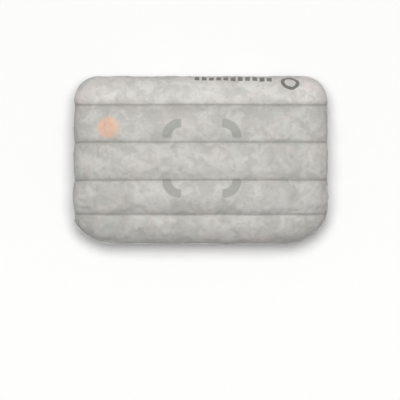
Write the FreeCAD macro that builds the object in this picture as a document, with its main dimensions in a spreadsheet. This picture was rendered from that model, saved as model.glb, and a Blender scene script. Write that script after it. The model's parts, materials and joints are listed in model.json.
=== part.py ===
"""Inflatable camp pillow with a down-filled, quilted face.

An air chamber of coated fabric, held to shape by upright webs, carries channels of down under a
thin face panel. The skins meet in a flat weld round the pillow's waist. The underside has four
arc-shaped lock patches and a two-stage valve: a small cap for blowing in, on a plug that opens
the whole throat to let the air out.

Frame: X along the pillow's length, Y from the neck edge to the far edge, Z up, with the
origin on the resting plane under the middle. Millimetres.
"""
import FreeCAD, Part
import math
import os
import Sketcher
from FreeCAD import Placement, Rotation, Vector

doc = FreeCAD.newDocument("camp_pillow")
sheet = doc.addObject("Spreadsheet::Sheet", "sizes")

driving_sizes = {
    # outline of the waist weld, seen from above
    "pillow_length": 430,
    "pillow_depth": 286,
    "back_corner_radius": 40,
    "front_corner_radius": 60,
    "weld_width": 8,
    "weld_lip": 2.5,
    "weld_thickness": 1.2,
    # heights over the resting plane
    "weld_height": 52,
    "seam_crown": 107,
    "quilt_puff": 13,
    # channels, from the neck edge to the far edge; the outer two take what is left
    "lower_channel": 58,
    "middle_channel": 64,
    "upper_channel": 63,
    "middle_offset": -3,
    # skins and filling
    "skin_thickness": 0.8,
    "bladder_thickness": 0.6,
    "layer_gap": 0.3,
    "down_loft": 9,
    "down_seam_gap": 2.5,
    "down_end_gap": 9,
    "down_weld_gap": 6,
    # underside
    "flat_half_length": 95,
    "groove_depth": 1.6,
    "groove_half_width": 1.5,
    # upright webs inside the air chamber
    "web_thickness": 0.6,
    "web_half_length": 150,
    "port_radius": 9,
    "port_pitch": 60,
    # lock patches
    "patch_half_span": 67.3,
    "patch_end": 34.8,
    "patch_offset": 1.6,
    "patch_width": 15.3,
    "patch_corner_radius": 30.2,
    "patch_end_rounding": 3,
    "patch_thickness": 0.8,
    # where the valve sits
    "valve_end_distance": 57,
    "valve_channel_offset": -3.5,
    "valve_facet_half": 26,
    # valve base and its weld ring
    "rim_radius": 18,
    "rim_thickness": 1.4,
    "rim_chamfer": 0.4,
    "neck_wall": 2.5,
    "throat_radius": 11.5,
    "neck_depth": 6.5,
    "throat_flare": 0.8,
    "throat_flare_depth": 2,
    "weld_ring_radius": 21,
    "weld_ring_thickness": 0.8,
    "fit_gap": 0.1,
    # plug
    "plug_clearance": 0.2,
    "plug_head_radius": 13.5,
    "plug_head_thickness": 1.2,
    "plug_depth": 6,
    "plug_straight": 1.7,
    "plug_taper": 1.1,
    "mouth_radius": 8,
    "spider_depth": 2.5,
    "spider_thickness": 1,
    "spider_hole_radius": 1.6,
    "spider_hole_circle": 5,
    "plug_tab_reach": 19.5,
    "plug_tab_width": 9,
    "tab_root": 1.6,
    "grip_width": 2.4,
    "grip_height": 0.8,
    # seal ring
    "seal_wire_radius": 0.5,
    "seal_clearance": 0.15,
    "seal_depth": 1.0,
    # check flap
    "flap_radius": 7,
    "flap_thickness": 0.6,
    "flap_stem_radius": 1,
    "flap_stem_clearance": 0.15,
    "flap_head_radius": 1.8,
    "flap_head_thickness": 0.9,
    "flap_travel": 1.4,
    # cap
    "cap_head_radius": 10.5,
    "cap_head_thickness": 1.4,
    "cap_skirt_clearance": 0.2,
    "cap_skirt_wall": 1.2,
    "cap_skirt_depth": 2,
    "cap_tab_reach": 16,
    "cap_tab_width": 8,
    # straps that the plug and the cap swing on
    "strap_width": 7,
    "strap_thickness": 0.6,
    "plug_hinge_reach": 15,
    "cap_hinge_reach": 11.6,
    "strap_hold": 1.4,
}

for row, (alias, value) in enumerate(driving_sizes.items(), start=1):
    sheet.set(f"A{row}", alias)
    sheet.set(f"B{row}", str(value))
    sheet.setAlias(f"B{row}", alias)
doc.recompute()


def size(alias):
    return float(getattr(sheet, alias))


# ---------------------------------------------------------------- shape of the skins
# Shares of the half length at which the cross-sections of the face and the bladder are drawn.
CROWN_STATIONS = (0, 0.35, 0.62, 0.80, 0.90, 0.96, 0.99, 1)
# Shares of the run from the valve's facet to the end at which the underside's are drawn.
BELLY_STATIONS = (0.3, 0.6, 0.8, 0.93, 1)
LENGTH_POWER = 3.0  # superellipse that the crown follows along the pillow
SIDE_POWER = 2.2  # and across it
PUFF_POWER = 0.6  # how fast the channels lose their puff towards the ends
SIDE_BULGE = 0.25  # bulge of the two outer channels, as a share of their chord
LEAST_BULGE = 0.1
QUARTER_BULGE = 1 - math.sqrt(0.5)  # how far a quarter circle's middle stands off its corner
END_HEIGHT = 3.0  # height of the skins where they close at the two ends
SEAM_MARGIN = 8.0  # least width left to an outer channel near the corners
CUT_FOOT = 2.0  # how far a cutting solid reaches past the rim that it cuts
SAME_PLACE = 0.01  # within this, two points are taken for one

weld_top = size("weld_height") + size("weld_thickness") / 2
weld_bottom = size("weld_height") - size("weld_thickness") / 2
panel_half = size("pillow_length") / 2 - size("weld_lip")
seam_upper = size("middle_offset") + size("middle_channel") / 2
seam_lower = size("middle_offset") - size("middle_channel") / 2
seam_back = seam_upper + size("upper_channel")
seam_front = seam_lower - size("lower_channel")
seam_lines = (seam_front, seam_lower, seam_upper, seam_back)


def superellipse(share, power):
    return max(0.0, 1 - share**power) ** (1 / power)


def outline_edges(x, inset):
    """Front and back y of the pillow's outline at x, drawn in by inset all round."""
    half_length = size("pillow_length") / 2 - inset
    edges = []
    for sign, corner in ((-1, "front_corner_radius"), (1, "back_corner_radius")):
        radius = size(corner) - inset
        past = max(0.0, abs(x) - (half_length - radius))
        rounding = radius - math.sqrt(max(0.0, radius**2 - past**2))
        edges.append(sign * (size("pillow_depth") / 2 - inset - rounding))
    return edges


def seams_between(front, back):
    """The four seam lines, pushed inwards where the outline closes on them."""
    least, most = front + SEAM_MARGIN, back - SEAM_MARGIN
    return [min(max(y, least), most) for y in seam_lines]


def closed_wire(x, edges, front, back, rim, foot):
    """Closes a section along the rim's plane, or foot past it."""
    corners = [(back, rim), (back, rim + foot), (front, rim + foot), (front, rim)]
    if foot == 0:
        corners = [(back, rim), (front, rim)]
    edges += [line(x, start, end) for start, end in zip(corners, corners[1:])]
    return Part.Wire(edges)


def arc(x, start, middle, end):
    return Part.Arc(*[Vector(x, y, z) for y, z in (start, middle, end)]).toShape()


def line(x, start, end):
    return Part.makeLine(Vector(x, *start), Vector(x, *end))


def side_bulge(start, end, bulge):
    """The point that stands off the middle of a chord by bulge, on its upper side."""
    run, rise = end[0] - start[0], end[1] - start[1]
    chord = math.hypot(run, rise)
    middle = ((start[0] + end[0]) / 2, (start[1] + end[1]) / 2)
    return middle[0] - rise / chord * bulge, middle[1] + run / chord * bulge


def crown_section(x, share, inset, sink, foot):
    """Closed cross-section under a quilted skin: five puffed arcs over a flat foot."""
    front, back = outline_edges(x, size("weld_lip") + inset)
    rise = size("seam_crown") - weld_top
    crown = max(superellipse(share, LENGTH_POWER), END_HEIGHT / rise)

    points = [(front, weld_top)]
    for y in seams_between(front, back):
        across = superellipse(y / (back if y > 0 else front), SIDE_POWER)
        points.append((y, weld_top + rise * crown * across - inset))
    points.append((back, weld_top))

    fade = crown**PUFF_POWER
    edges = []
    for start, end in zip(points, points[1:]):
        bulge = (size("quilt_puff") - sink) * fade
        if weld_top in (start[1], end[1]):
            chord = math.hypot(end[0] - start[0], end[1] - start[1])
            bulge = max(SIDE_BULGE * chord - sink * fade, LEAST_BULGE * chord)
        edges.append(arc(x, start, side_bulge(start, end, bulge), end))
    return closed_wire(x, edges, front, back, weld_top, -foot)


def crown(name, inset, sink=0.0, foot=0.0):
    """Solid under a quilted skin, drawn in by inset, with its channels sunk by sink."""
    half = panel_half - inset
    shares = [-share for share in reversed(CROWN_STATIONS[1:])] + list(CROWN_STATIONS)
    wires = [crown_section(share * half, abs(share), inset, sink, foot) for share in shares]
    feature = doc.addObject("Part::Feature", name)
    feature.Shape = Part.makeLoft(wires, True, True)
    return feature


valve_x = size("valve_end_distance") - size("pillow_length") / 2
valve_y = (seam_upper + seam_back) / 2 + size("valve_channel_offset")
facet_near = abs(valve_x) - size("valve_facet_half")
facet_far = abs(valve_x) + size("valve_facet_half")


def belly_curve(x):
    """Height of the underside at x: flat in the middle, then a quarter ellipse up to the weld."""
    over = max(0.0, x - size("flat_half_length")) / (panel_half - size("flat_half_length"))
    climb = weld_bottom - size("patch_thickness")
    height = size("patch_thickness") + climb * (1 - math.sqrt(max(0.0, 1 - over**2)))
    return min(height, weld_bottom - END_HEIGHT)


def belly_height(x):
    """The same curve, made straight across the facet that the valve sits on."""
    if not facet_near < x < facet_far:
        return belly_curve(x)
    share = (x - facet_near) / (facet_far - facet_near)
    return belly_curve(facet_near) * (1 - share) + belly_curve(facet_far) * share


def belly_section(x, height, inset, foot, front, back):
    """Closed cross-section above the underside skin: flats with a groove under each web."""
    floor = height + inset
    groove = size("groove_depth") * (weld_bottom - height) / weld_bottom
    points = []
    for y in seams_between(front, back):
        points.append((y - size("groove_half_width"), floor))
        points.append((y, floor + groove))
        points.append((y + size("groove_half_width"), floor))
    edges = [arc(x, (front, weld_bottom), flank_middle(front, points[0]), points[0])]
    edges += [line(x, start, end) for start, end in zip(points, points[1:])]
    edges.append(arc(x, points[-1], flank_middle(back, points[-1]), (back, weld_bottom)))
    return closed_wire(x, edges, front, back, weld_bottom, foot)


def flank_middle(rim, flat):
    """Middle of the arc that rounds the underside from its rim to the edge of its flat."""
    y = rim + QUARTER_BULGE * (flat[0] - rim)
    return y, flat[1] + QUARTER_BULGE * (weld_bottom - flat[1])


def belly(name, inset, foot=0.0):
    """Solid above the underside skin, drawn in by inset."""
    stations = [size("flat_half_length"), facet_near, abs(valve_x), facet_far]
    stations += [facet_far + (panel_half - facet_far) * share for share in BELLY_STATIONS]
    wires = []
    for x in [-station for station in reversed(stations)] + stations:
        past = max(0.0, abs(x) - facet_far) / (panel_half - facet_far)
        x_inside = math.copysign(abs(x) - inset * past, x)
        front, back = outline_edges(x_inside, size("weld_lip") + inset)
        wires.append(belly_section(x_inside, belly_height(abs(x)), inset, foot, front, back))
    feature = doc.addObject("Part::Feature", name)
    feature.Shape = Part.makeLoft(wires, True, True)
    return feature


# ---------------------------------------------------------------- helpers for features
kept = {}


def named(feature, label):
    """Gives a sub-part its own label, under which it is written out."""
    feature.Label = label
    kept[label] = feature


def boolean(kind, name, base, tool):
    feature = doc.addObject(f"Part::{kind}", name)
    feature.Base = base
    feature.Tool = tool
    return feature


def bind(feature, bindings):
    for prop, expression in bindings.items():
        feature.setExpression(prop, expression)


def bound_box(name, low, span):
    """A box whose corner and spans follow expressions in the sheet's sizes."""
    box = doc.addObject("Part::Box", name)
    bind(box, dict(zip(("Length", "Width", "Height"), span)))
    bind(box, dict(zip(("Placement.Base.x", "Placement.Base.y", "Placement.Base.z"), low)))
    return box


def origin_plane(body, role):
    return next(f for f in body.Origin.OriginFeatures if f.Role == role)


def new_sketch(body, name, role):
    sketch = body.newObject("Sketcher::SketchObject", name)
    sketch.AttachmentSupport = (origin_plane(body, role), [""])
    sketch.MapMode = "FlatFace"
    return sketch


def value_of(sketch, expression):
    return float(sketch.evalExpression(expression))


def bind_point(sketch, geometry, end, x_expression, y_expression):
    """Ties one end of a line or arc to a place given by two expressions."""
    for kind, expression in (("DistanceX", x_expression), ("DistanceY", y_expression)):
        bind_constraint(sketch, expression, kind, -1, 1, geometry, end)


def bind_constraint(sketch, expression, *facts):
    """Adds a constraint whose value follows an expression in the sheet's sizes."""
    value = value_of(sketch, expression)
    number = sketch.addConstraint(Sketcher.Constraint(*facts, value))
    sketch.setExpression(f"Constraints[{number}]", expression)


def draw_polygon(sketch, corners):
    """A closed outline of straight lines whose corners follow expressions."""
    places = [Vector(value_of(sketch, x), value_of(sketch, y), 0) for x, y in corners]
    lines = []
    for start, end in zip(places, places[1:] + places[:1]):
        lines.append(sketch.addGeometry(Part.LineSegment(start, end), False))
    for number, geometry in enumerate(lines):
        following = lines[(number + 1) % len(lines)]
        sketch.addConstraint(Sketcher.Constraint("Coincident", geometry, 2, following, 1))
        bind_point(sketch, geometry, 1, *corners[number])


def new_body(name):
    return doc.addObject("PartDesign::Body", name)


def pad(body, sketch, name, length):
    feature = body.newObject("PartDesign::Pad", name)
    feature.Profile = sketch
    feature.setExpression("Length", length)


def revolve(body, sketch, name):
    feature = body.newObject("PartDesign::Revolution", name)
    feature.Profile = sketch
    feature.ReferenceAxis = (sketch, ["V_Axis"])
    feature.Angle = 360


# ---------------------------------------------------------------- soft parts
skin = size("skin_thickness")
under_skin = skin + size("layer_gap")
film = size("bladder_thickness")
loft = size("down_loft")

UPPER_SEAM = "(sizes.middle_offset + sizes.middle_channel / 2)"
LOWER_SEAM = "(sizes.middle_offset - sizes.middle_channel / 2)"
BACK_SEAM = f"({UPPER_SEAM} + sizes.upper_channel)"
FRONT_SEAM = f"({LOWER_SEAM} - sizes.lower_channel)"
NECK_RADIUS = "(sizes.throat_radius + sizes.neck_wall)"


def make_face_panel():
    """Thin quilted face. Returns the space under it."""
    inside = crown("face_inside", skin, foot=CUT_FOOT)
    named(boolean("Cut", "face_shell", crown("face_outside", 0), inside), "face_panel")
    return inside


def make_bladder_top():
    """Upper wall of the air chamber. Returns its outer form and the air space under it."""
    outside = crown("bladder_outside", under_skin, sink=loft)
    inside = crown("bladder_inside", under_skin + film, sink=loft, foot=CUT_FOOT)
    named(boolean("Cut", "bladder_shell", outside, inside), "bladder_top")
    return outside, inside


def make_down_fills(face_space, bladder_form):
    """One filling of down in each channel, between the face panel and the air chamber."""
    edges = ["(-sizes.pillow_depth)", FRONT_SEAM, LOWER_SEAM, UPPER_SEAM, BACK_SEAM,
             "sizes.pillow_depth"]
    labels = ("down_front", "down_lower", "down_middle", "down_upper", "down_back")
    half_length = "(sizes.pillow_length / 2 - sizes.weld_lip - sizes.down_end_gap)"
    for label, start, end in zip(labels, edges, edges[1:]):
        low = (
            f"-{half_length}",
            f"{start} + sizes.down_seam_gap",
            "sizes.weld_height + sizes.down_weld_gap",
        )
        span = (
            f"2 * {half_length}",
            f"{end} - {start} - 2 * sizes.down_seam_gap",
            "sizes.seam_crown",
        )
        slab = bound_box(f"{label}_slab", low, span)
        channel = boolean("Common", f"{label}_channel", face_space, slab)
        named(boolean("Cut", f"{label}_filling", channel, bladder_form), label)


def valve_frame():
    """Place of the valve on its facet: local Z points out of the pillow, X to its middle."""
    climb = belly_height(facet_far) - belly_height(facet_near)
    tilt = math.atan2(climb, facet_far - facet_near)
    outward = Vector(-math.sin(tilt), 0, -math.cos(tilt))
    inboard = Vector(math.cos(tilt), 0, -math.sin(tilt))
    turn = Rotation(inboard, outward.cross(inboard), outward, "ZXY")
    return Placement(Vector(valve_x, valve_y, belly_height(abs(valve_x))), turn)


valve_place = valve_frame()


def make_base_panel():
    """Underside, with a round hole for the valve's neck. Returns the air space above it."""
    inside = belly("base_inside", skin, foot=CUT_FOOT)
    shell = boolean("Cut", "base_shell", belly("base_outside", 0), inside)
    hole = doc.addObject("Part::Cylinder", "valve_hole")
    bind(hole, {"Radius": f"{NECK_RADIUS} + sizes.fit_gap", "Height": "2 * sizes.neck_depth"})
    start = valve_place.multVec(Vector(0, 0, -size("neck_depth")))
    hole.Placement = Placement(start, valve_place.Rotation)
    named(boolean("Cut", "base_with_hole", shell, hole), "base_panel")
    return inside


def make_webs(air_above, air_below):
    """Upright webs that tie the chamber's two walls together at the seams, with air ports."""
    air = boolean("Fuse", "air_space", air_above, air_below)
    places = {
        "web_front": FRONT_SEAM,
        "web_lower": LOWER_SEAM,
        "web_upper": UPPER_SEAM,
        "web_back": BACK_SEAM,
    }
    for label, place in places.items():
        low = ("-sizes.web_half_length", f"{place} - sizes.web_thickness / 2", "0")
        span = ("2 * sizes.web_half_length", "sizes.web_thickness", "2 * sizes.seam_crown")
        whole = boolean("Common", f"{label}_whole", air, bound_box(f"{label}_film", low, span))
        ports = [air_port(f"{label}_port_{number + 3}", number, place)
                 for number in (-2, -1, 0, 1, 2)]
        holes = doc.addObject("Part::MultiFuse", f"{label}_ports")
        holes.Shapes = ports
        named(boolean("Cut", f"{label}_with_ports", whole, holes), label)


def air_port(name, number, place):
    """A cutter for one port, so many pitches from the middle of a web."""
    port = doc.addObject("Part::Cylinder", name)
    port.Placement.Rotation = Rotation(Vector(1, 0, 0), 90)
    bind(port, {
        "Radius": "sizes.port_radius",
        "Height": "4 * sizes.web_thickness",
        "Placement.Base.x": f"{number} * sizes.port_pitch",
        "Placement.Base.y": f"{place} + 2 * sizes.web_thickness",
        "Placement.Base.z": "sizes.weld_height",
    })
    return port


def make_edge_weld():
    """Flat weld round the waist that joins the face, the air chamber and the base."""
    body = new_body("edge_weld_body")
    sketch = new_sketch(body, "edge_weld_outline", "XY_Plane")
    for inset in ("0", "sizes.weld_width"):
        draw_outline(sketch, inset)
    pad(body, sketch, "edge_weld_pad", "sizes.weld_thickness")
    body.setExpression("Placement.Base.z", "sizes.weld_height - sizes.weld_thickness / 2")
    named(body, "edge_weld")


def draw_outline(sketch, inset):
    """The pillow's outline, drawn in by inset: four sides joined by tangent corner arcs."""
    half_x = f"(sizes.pillow_length / 2 - {inset})"
    half_y = f"(sizes.pillow_depth / 2 - {inset})"
    corners = [
        (1, -1, f"(sizes.front_corner_radius - {inset})"),
        (1, 1, f"(sizes.back_corner_radius - {inset})"),
        (-1, 1, f"(sizes.back_corner_radius - {inset})"),
        (-1, -1, f"(sizes.front_corner_radius - {inset})"),
    ]
    arcs = []
    for number, (sign_x, sign_y, radius) in enumerate(corners):
        centre_x = f"{sign_x} * ({half_x} - {radius})"
        centre_y = f"{sign_y} * ({half_y} - {radius})"
        centre = Vector(value_of(sketch, centre_x), value_of(sketch, centre_y), 0)
        circle = Part.Circle(centre, Vector(0, 0, 1), value_of(sketch, radius))
        turn = (number - 1) * math.pi / 2
        geometry = sketch.addGeometry(Part.ArcOfCircle(circle, turn, turn + math.pi / 2), False)
        bind_point(sketch, geometry, 3, centre_x, centre_y)
        bind_constraint(sketch, radius, "Radius", geometry)
        arcs.append(geometry)
    for number, geometry in enumerate(arcs):
        following = arcs[(number + 1) % len(arcs)]
        start = sketch.getPoint(geometry, 2)
        end = sketch.getPoint(following, 1)
        side = sketch.addGeometry(Part.LineSegment(start, end), False)
        sketch.addConstraint(Sketcher.Constraint("Tangent", geometry, 2, side, 1))
        sketch.addConstraint(Sketcher.Constraint("Tangent", side, 2, following, 1))


PATCH_SIGNS = {
    "back_right": (1, 1),
    "back_left": (-1, 1),
    "front_left": (-1, -1),
    "front_right": (1, -1),
}


def make_lock_patches():
    """Four arcs of looped fabric on the underside that grip matching patches on a mat."""
    for label, signs in PATCH_SIGNS.items():
        body = new_body(f"lock_patch_{label}_body")
        sketch = new_sketch(body, f"{label}_outline", "XY_Plane")
        corners = patch_corners(*signs)
        draw_polygon(sketch, corners)
        pad(body, sketch, f"{label}_pad", "sizes.patch_thickness")
        places = [(value_of(sketch, x), value_of(sketch, y)) for x, y in corners]
        ends = places[2:4] + places[5:] + places[:1]
        inner_radius = "sizes.patch_corner_radius - sizes.patch_width"
        round_corners(body, f"{label}_outer", places[1:2], "sizes.patch_corner_radius")
        round_corners(body, f"{label}_inner", places[4:5], inner_radius)
        round_corners(body, f"{label}_ends", ends, "sizes.patch_end_rounding")
        named(body, f"lock_patch_{label}")


def patch_corners(sign_x, sign_y):
    """An angle with two equal legs, in one quarter of the underside, still with sharp corners."""
    span, end = "sizes.patch_half_span", "sizes.patch_end"
    inner = f"({span} - sizes.patch_width)"
    places = [(end, span), (span, span), (span, end), (inner, end), (inner, inner), (end, inner)]
    return [
        (f"{sign_x} * {x} + sizes.patch_offset", f"{sign_y} * {y} + sizes.patch_offset")
        for x, y in places
    ]


def round_corners(body, name, places, radius):
    """Rounds the upright edges of the body's last feature that stand at the given places."""
    doc.recompute()
    last = body.Tip
    edges = []
    for number, edge in enumerate(last.Shape.Edges, start=1):
        spots = [(vertex.X, vertex.Y) for vertex in edge.Vertexes]
        if any(all(math.dist(spot, place) < SAME_PLACE for spot in spots) for place in places):
            edges.append(f"Edge{number}")
    fillet = body.newObject("PartDesign::Fillet", name)
    fillet.Base = (last, edges)
    fillet.setExpression("Radius", radius)


# ---------------------------------------------------------------- valve
# Heights over the fabric's outer face, outwards, in the sheet's terms.
HEAD_LOW = "(sizes.rim_thickness + sizes.fit_gap)"
HEAD_HIGH = f"({HEAD_LOW} + sizes.plug_head_thickness)"
CAP_LOW = f"({HEAD_HIGH} + sizes.fit_gap)"
FLOOR_HIGH = "(-sizes.spider_depth)"
FLOOR_LOW = "(-sizes.spider_depth - sizes.spider_thickness)"
PLUG_RADIUS = "(sizes.throat_radius - sizes.plug_clearance)"
SEAL_CENTRE = "(sizes.throat_radius - sizes.seal_clearance - sizes.seal_wire_radius)"
SKIRT_RADIUS = "(sizes.mouth_radius - sizes.cap_skirt_clearance)"


def turned_body(label, corners):
    """A turned valve part: its half profile, revolved about the valve's own axis."""
    body = new_body(f"{label}_body")
    sketch = new_sketch(body, f"{label}_profile", "XZ_Plane")
    draw_polygon(sketch, corners)
    revolve(body, sketch, f"{label}_turned")
    body.Placement = valve_place
    named(body, label)
    return body


def make_valve_base():
    """Rim outside the fabric and neck through it, with a flared throat."""
    turned_body("valve_base", [
        ("sizes.throat_radius", "-sizes.neck_depth"),
        (NECK_RADIUS, "-sizes.neck_depth"),
        (NECK_RADIUS, "0"),
        ("sizes.rim_radius", "0"),
        ("sizes.rim_radius", "sizes.rim_thickness - sizes.rim_chamfer"),
        ("sizes.rim_radius - sizes.rim_chamfer", "sizes.rim_thickness"),
        ("sizes.throat_radius + sizes.throat_flare", "sizes.rim_thickness"),
        ("sizes.throat_radius", "sizes.rim_thickness - sizes.throat_flare_depth"),
    ])


def make_weld_ring():
    """Film ring that welds the neck to the inside of the base panel."""
    top = "-sizes.skin_thickness"
    low = "-sizes.skin_thickness - sizes.weld_ring_thickness"
    bore = f"{NECK_RADIUS} + sizes.fit_gap / 2"
    turned_body("valve_weld_ring", [
        (bore, low),
        ("sizes.weld_ring_radius", low),
        ("sizes.weld_ring_radius", top),
        (bore, top),
    ])


def make_plug():
    """Plug for the throat: head, tapered barrel, mouth and the floor that the flap shuts on."""
    foot = f"{PLUG_RADIUS} - sizes.plug_taper"
    groove = f"{SEAL_CENTRE} - sizes.seal_wire_radius - sizes.fit_gap / 2"
    groove_low = "-sizes.seal_depth - sizes.seal_wire_radius - sizes.fit_gap"
    groove_high = "-sizes.seal_depth + sizes.seal_wire_radius + sizes.fit_gap"
    stem_hole = "sizes.flap_stem_radius + sizes.flap_stem_clearance"
    body = turned_body("valve_plug", [
        (stem_hole, FLOOR_LOW),
        ("sizes.mouth_radius", FLOOR_LOW),
        ("sizes.mouth_radius", "-sizes.plug_depth"),
        (foot, "-sizes.plug_depth"),
        (PLUG_RADIUS, "-sizes.plug_straight"),
        (PLUG_RADIUS, groove_low),
        (groove, groove_low),
        (groove, groove_high),
        (PLUG_RADIUS, groove_high),
        (PLUG_RADIUS, HEAD_LOW),
        ("sizes.plug_head_radius", HEAD_LOW),
        ("sizes.plug_head_radius", HEAD_HIGH),
        ("sizes.mouth_radius", HEAD_HIGH),
        ("sizes.mouth_radius", FLOOR_HIGH),
        (stem_hole, FLOOR_HIGH),
    ])
    add_tab(body, "plug", "-X", HEAD_LOW)
    cut_air_holes(body)


def arm_corners(direction, start, end, width):
    """Corners of a strip that runs out from the valve's axis in one direction."""
    sign = direction[0]
    corners = [
        (f"{sign}({start})", f"-({width}) / 2"),
        (f"{sign}({end})", f"-({width}) / 2"),
        (f"{sign}({end})", f"({width}) / 2"),
        (f"{sign}({start})", f"({width}) / 2"),
    ]
    if direction[1] == "Y":
        corners = [(across, along) for along, across in corners]
    return corners


def pad_arm(body, name, direction, extent, low, height):
    """Pads a strip, given by its start, end and width, from low upwards by height."""
    sketch = new_sketch(body, f"{name}_outline", "XY_Plane")
    draw_polygon(sketch, arm_corners(direction, *extent))
    sketch.setExpression("AttachmentOffset.Base.z", low)
    pad(body, sketch, name, height)


def add_tab(body, name, direction, low):
    """A finger tab on the edge of the plug's or the cap's head, with a grip bar at its end."""
    width = f"sizes.{name}_tab_width"
    reach = f"sizes.{name}_tab_reach"
    root = f"sizes.{name}_head_radius - sizes.tab_root"
    thickness = f"sizes.{name}_head_thickness"
    pad_arm(body, f"{name}_tab", direction, (root, reach, width), low, thickness)
    bar = (f"{reach} - sizes.grip_width", reach, width)
    pad_arm(body, f"{name}_grip", direction, bar, low, f"{thickness} + sizes.grip_height")


def cut_air_holes(body):
    """Six holes through the plug's floor, spaced round the flap's stem."""
    sketch = new_sketch(body, "air_hole_outline", "XY_Plane")
    centre = Vector(size("spider_hole_circle"), 0, 0)
    circle = Part.Circle(centre, Vector(0, 0, 1), size("spider_hole_radius"))
    hole = sketch.addGeometry(circle, False)
    bind_constraint(sketch, "sizes.spider_hole_radius", "Radius", hole)
    bind_constraint(sketch, "sizes.spider_hole_circle", "DistanceX", -1, 1, hole, 3)
    sketch.addConstraint(Sketcher.Constraint("PointOnObject", hole, 3, -1))
    sketch.setExpression("AttachmentOffset.Base.z", FLOOR_HIGH)
    doc.recompute()
    pocket = body.newObject("PartDesign::Pocket", "air_hole")
    pocket.Profile = sketch
    pocket.setExpression("Length", "sizes.spider_thickness")
    doc.recompute()
    pattern = body.newObject("PartDesign::PolarPattern", "air_holes")
    pattern.Originals = [pocket]
    pattern.Axis = (sketch, ["N_Axis"])
    pattern.Angle = 360
    pattern.Occurrences = 6
    body.Tip = pattern


def make_seal():
    """Sealing ring in the plug's groove."""
    seal = doc.addObject("Part::Torus", "seal_ring")
    bind(seal, {"Radius1": SEAL_CENTRE, "Radius2": "sizes.seal_wire_radius"})
    depth = Placement(Vector(0, 0, -size("seal_depth")), Rotation())
    seal.Placement = valve_place.multiply(depth)
    named(seal, "plug_seal")


def make_flap():
    """Silicone check flap: a disc that shuts on the plug's floor, on a stem with a stop head."""
    disc_low = f"{FLOOR_LOW} - sizes.flap_thickness"
    stop = f"{FLOOR_HIGH} + sizes.flap_travel"
    head_top = f"{stop} + sizes.flap_head_thickness"
    turned_body("check_flap", [
        ("0", disc_low),
        ("sizes.flap_radius", disc_low),
        ("sizes.flap_radius", FLOOR_LOW),
        ("sizes.flap_stem_radius", FLOOR_LOW),
        ("sizes.flap_stem_radius", stop),
        ("sizes.flap_head_radius", stop),
        ("sizes.flap_stem_radius", head_top),
        ("0", head_top),
    ])


def make_cap():
    """Cap over the plug's mouth, with a skirt that pushes into it."""
    skirt_low = f"{CAP_LOW} - sizes.cap_skirt_depth"
    bore = f"{SKIRT_RADIUS} - sizes.cap_skirt_wall"
    top = f"{CAP_LOW} + sizes.cap_head_thickness"
    body = turned_body("valve_cap", [
        ("0", CAP_LOW),
        (bore, CAP_LOW),
        (bore, skirt_low),
        (f"{SKIRT_RADIUS} - sizes.cap_skirt_clearance", skirt_low),
        (SKIRT_RADIUS, f"{skirt_low} + sizes.cap_skirt_depth / 2"),
        (SKIRT_RADIUS, CAP_LOW),
        ("sizes.cap_head_radius", CAP_LOW),
        ("sizes.cap_head_radius", top),
        ("0", top),
    ])
    add_tab(body, "cap", " Y", CAP_LOW)


def make_strap(name, direction, low):
    """A thin strap from a head's edge out over the part below, bending as the head swings."""
    body = new_body(f"{name}_strap_body")
    start = f"sizes.{name}_head_radius + sizes.fit_gap / 2"
    end = f"sizes.{name}_hinge_reach + sizes.strap_hold"
    extent = (start, end, "sizes.strap_width")
    pad_arm(body, f"{name}_strap_pad", direction, extent, low, "sizes.strap_thickness")
    body.Placement = valve_place
    named(body, f"{name}_strap")


face_space = make_face_panel()
bladder_form, air_above = make_bladder_top()
make_down_fills(face_space, bladder_form)
air_below = make_base_panel()
make_webs(air_above, air_below)
make_edge_weld()
make_lock_patches()
make_valve_base()
make_weld_ring()
make_plug()
make_seal()
make_flap()
make_cap()
make_strap("plug", " X", "sizes.rim_thickness")
make_strap("cap", "-Y", HEAD_HIGH)
doc.recompute()

# ---------------------------------------------------------------- check and write
for item in doc.Objects:
    if "Invalid" in item.State or "Error" in item.State:
        raise SystemExit(f"{item.Name} failed: {item.State}")
for label, feature in kept.items():
    if feature.Shape.isNull() or not feature.Shape.isValid() or not feature.Shape.Solids:
        raise SystemExit(f"{label} has no valid solid")

os.makedirs("parts", exist_ok=True)
for label, feature in kept.items():
    feature.Shape.exportStep(f"parts/{label}.step")
    print(f"{label}: {len(feature.Shape.Solids)} solid, {feature.Shape.Volume:.1f} mm3")

# Places and axes of the valve's joints, for whoever writes the record.
hinges = (
    ("plug hinge", Vector(size("plug_hinge_reach"), 0, size("rim_thickness")), Vector(0, 1, 0)),
    ("cap hinge", Vector(0, -size("cap_hinge_reach"), value_of(sheet, HEAD_HIGH)),
     Vector(1, 0, 0)),
    ("check flap", Vector(0, 0, value_of(sheet, FLOOR_LOW)), Vector(0, 0, -1)),
)
for label, place, axis in hinges:
    pivot = valve_place.multVec(place)
    way = valve_place.Rotation.multVec(axis)
    print(label, [round(v, 4) for v in pivot], "axis", [round(v, 7) for v in way])
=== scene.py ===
import bpy
import json
import math
import numpy as np
from mathutils import Matrix, Vector, noise
from mathutils.bvhtree import BVHTree


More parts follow.
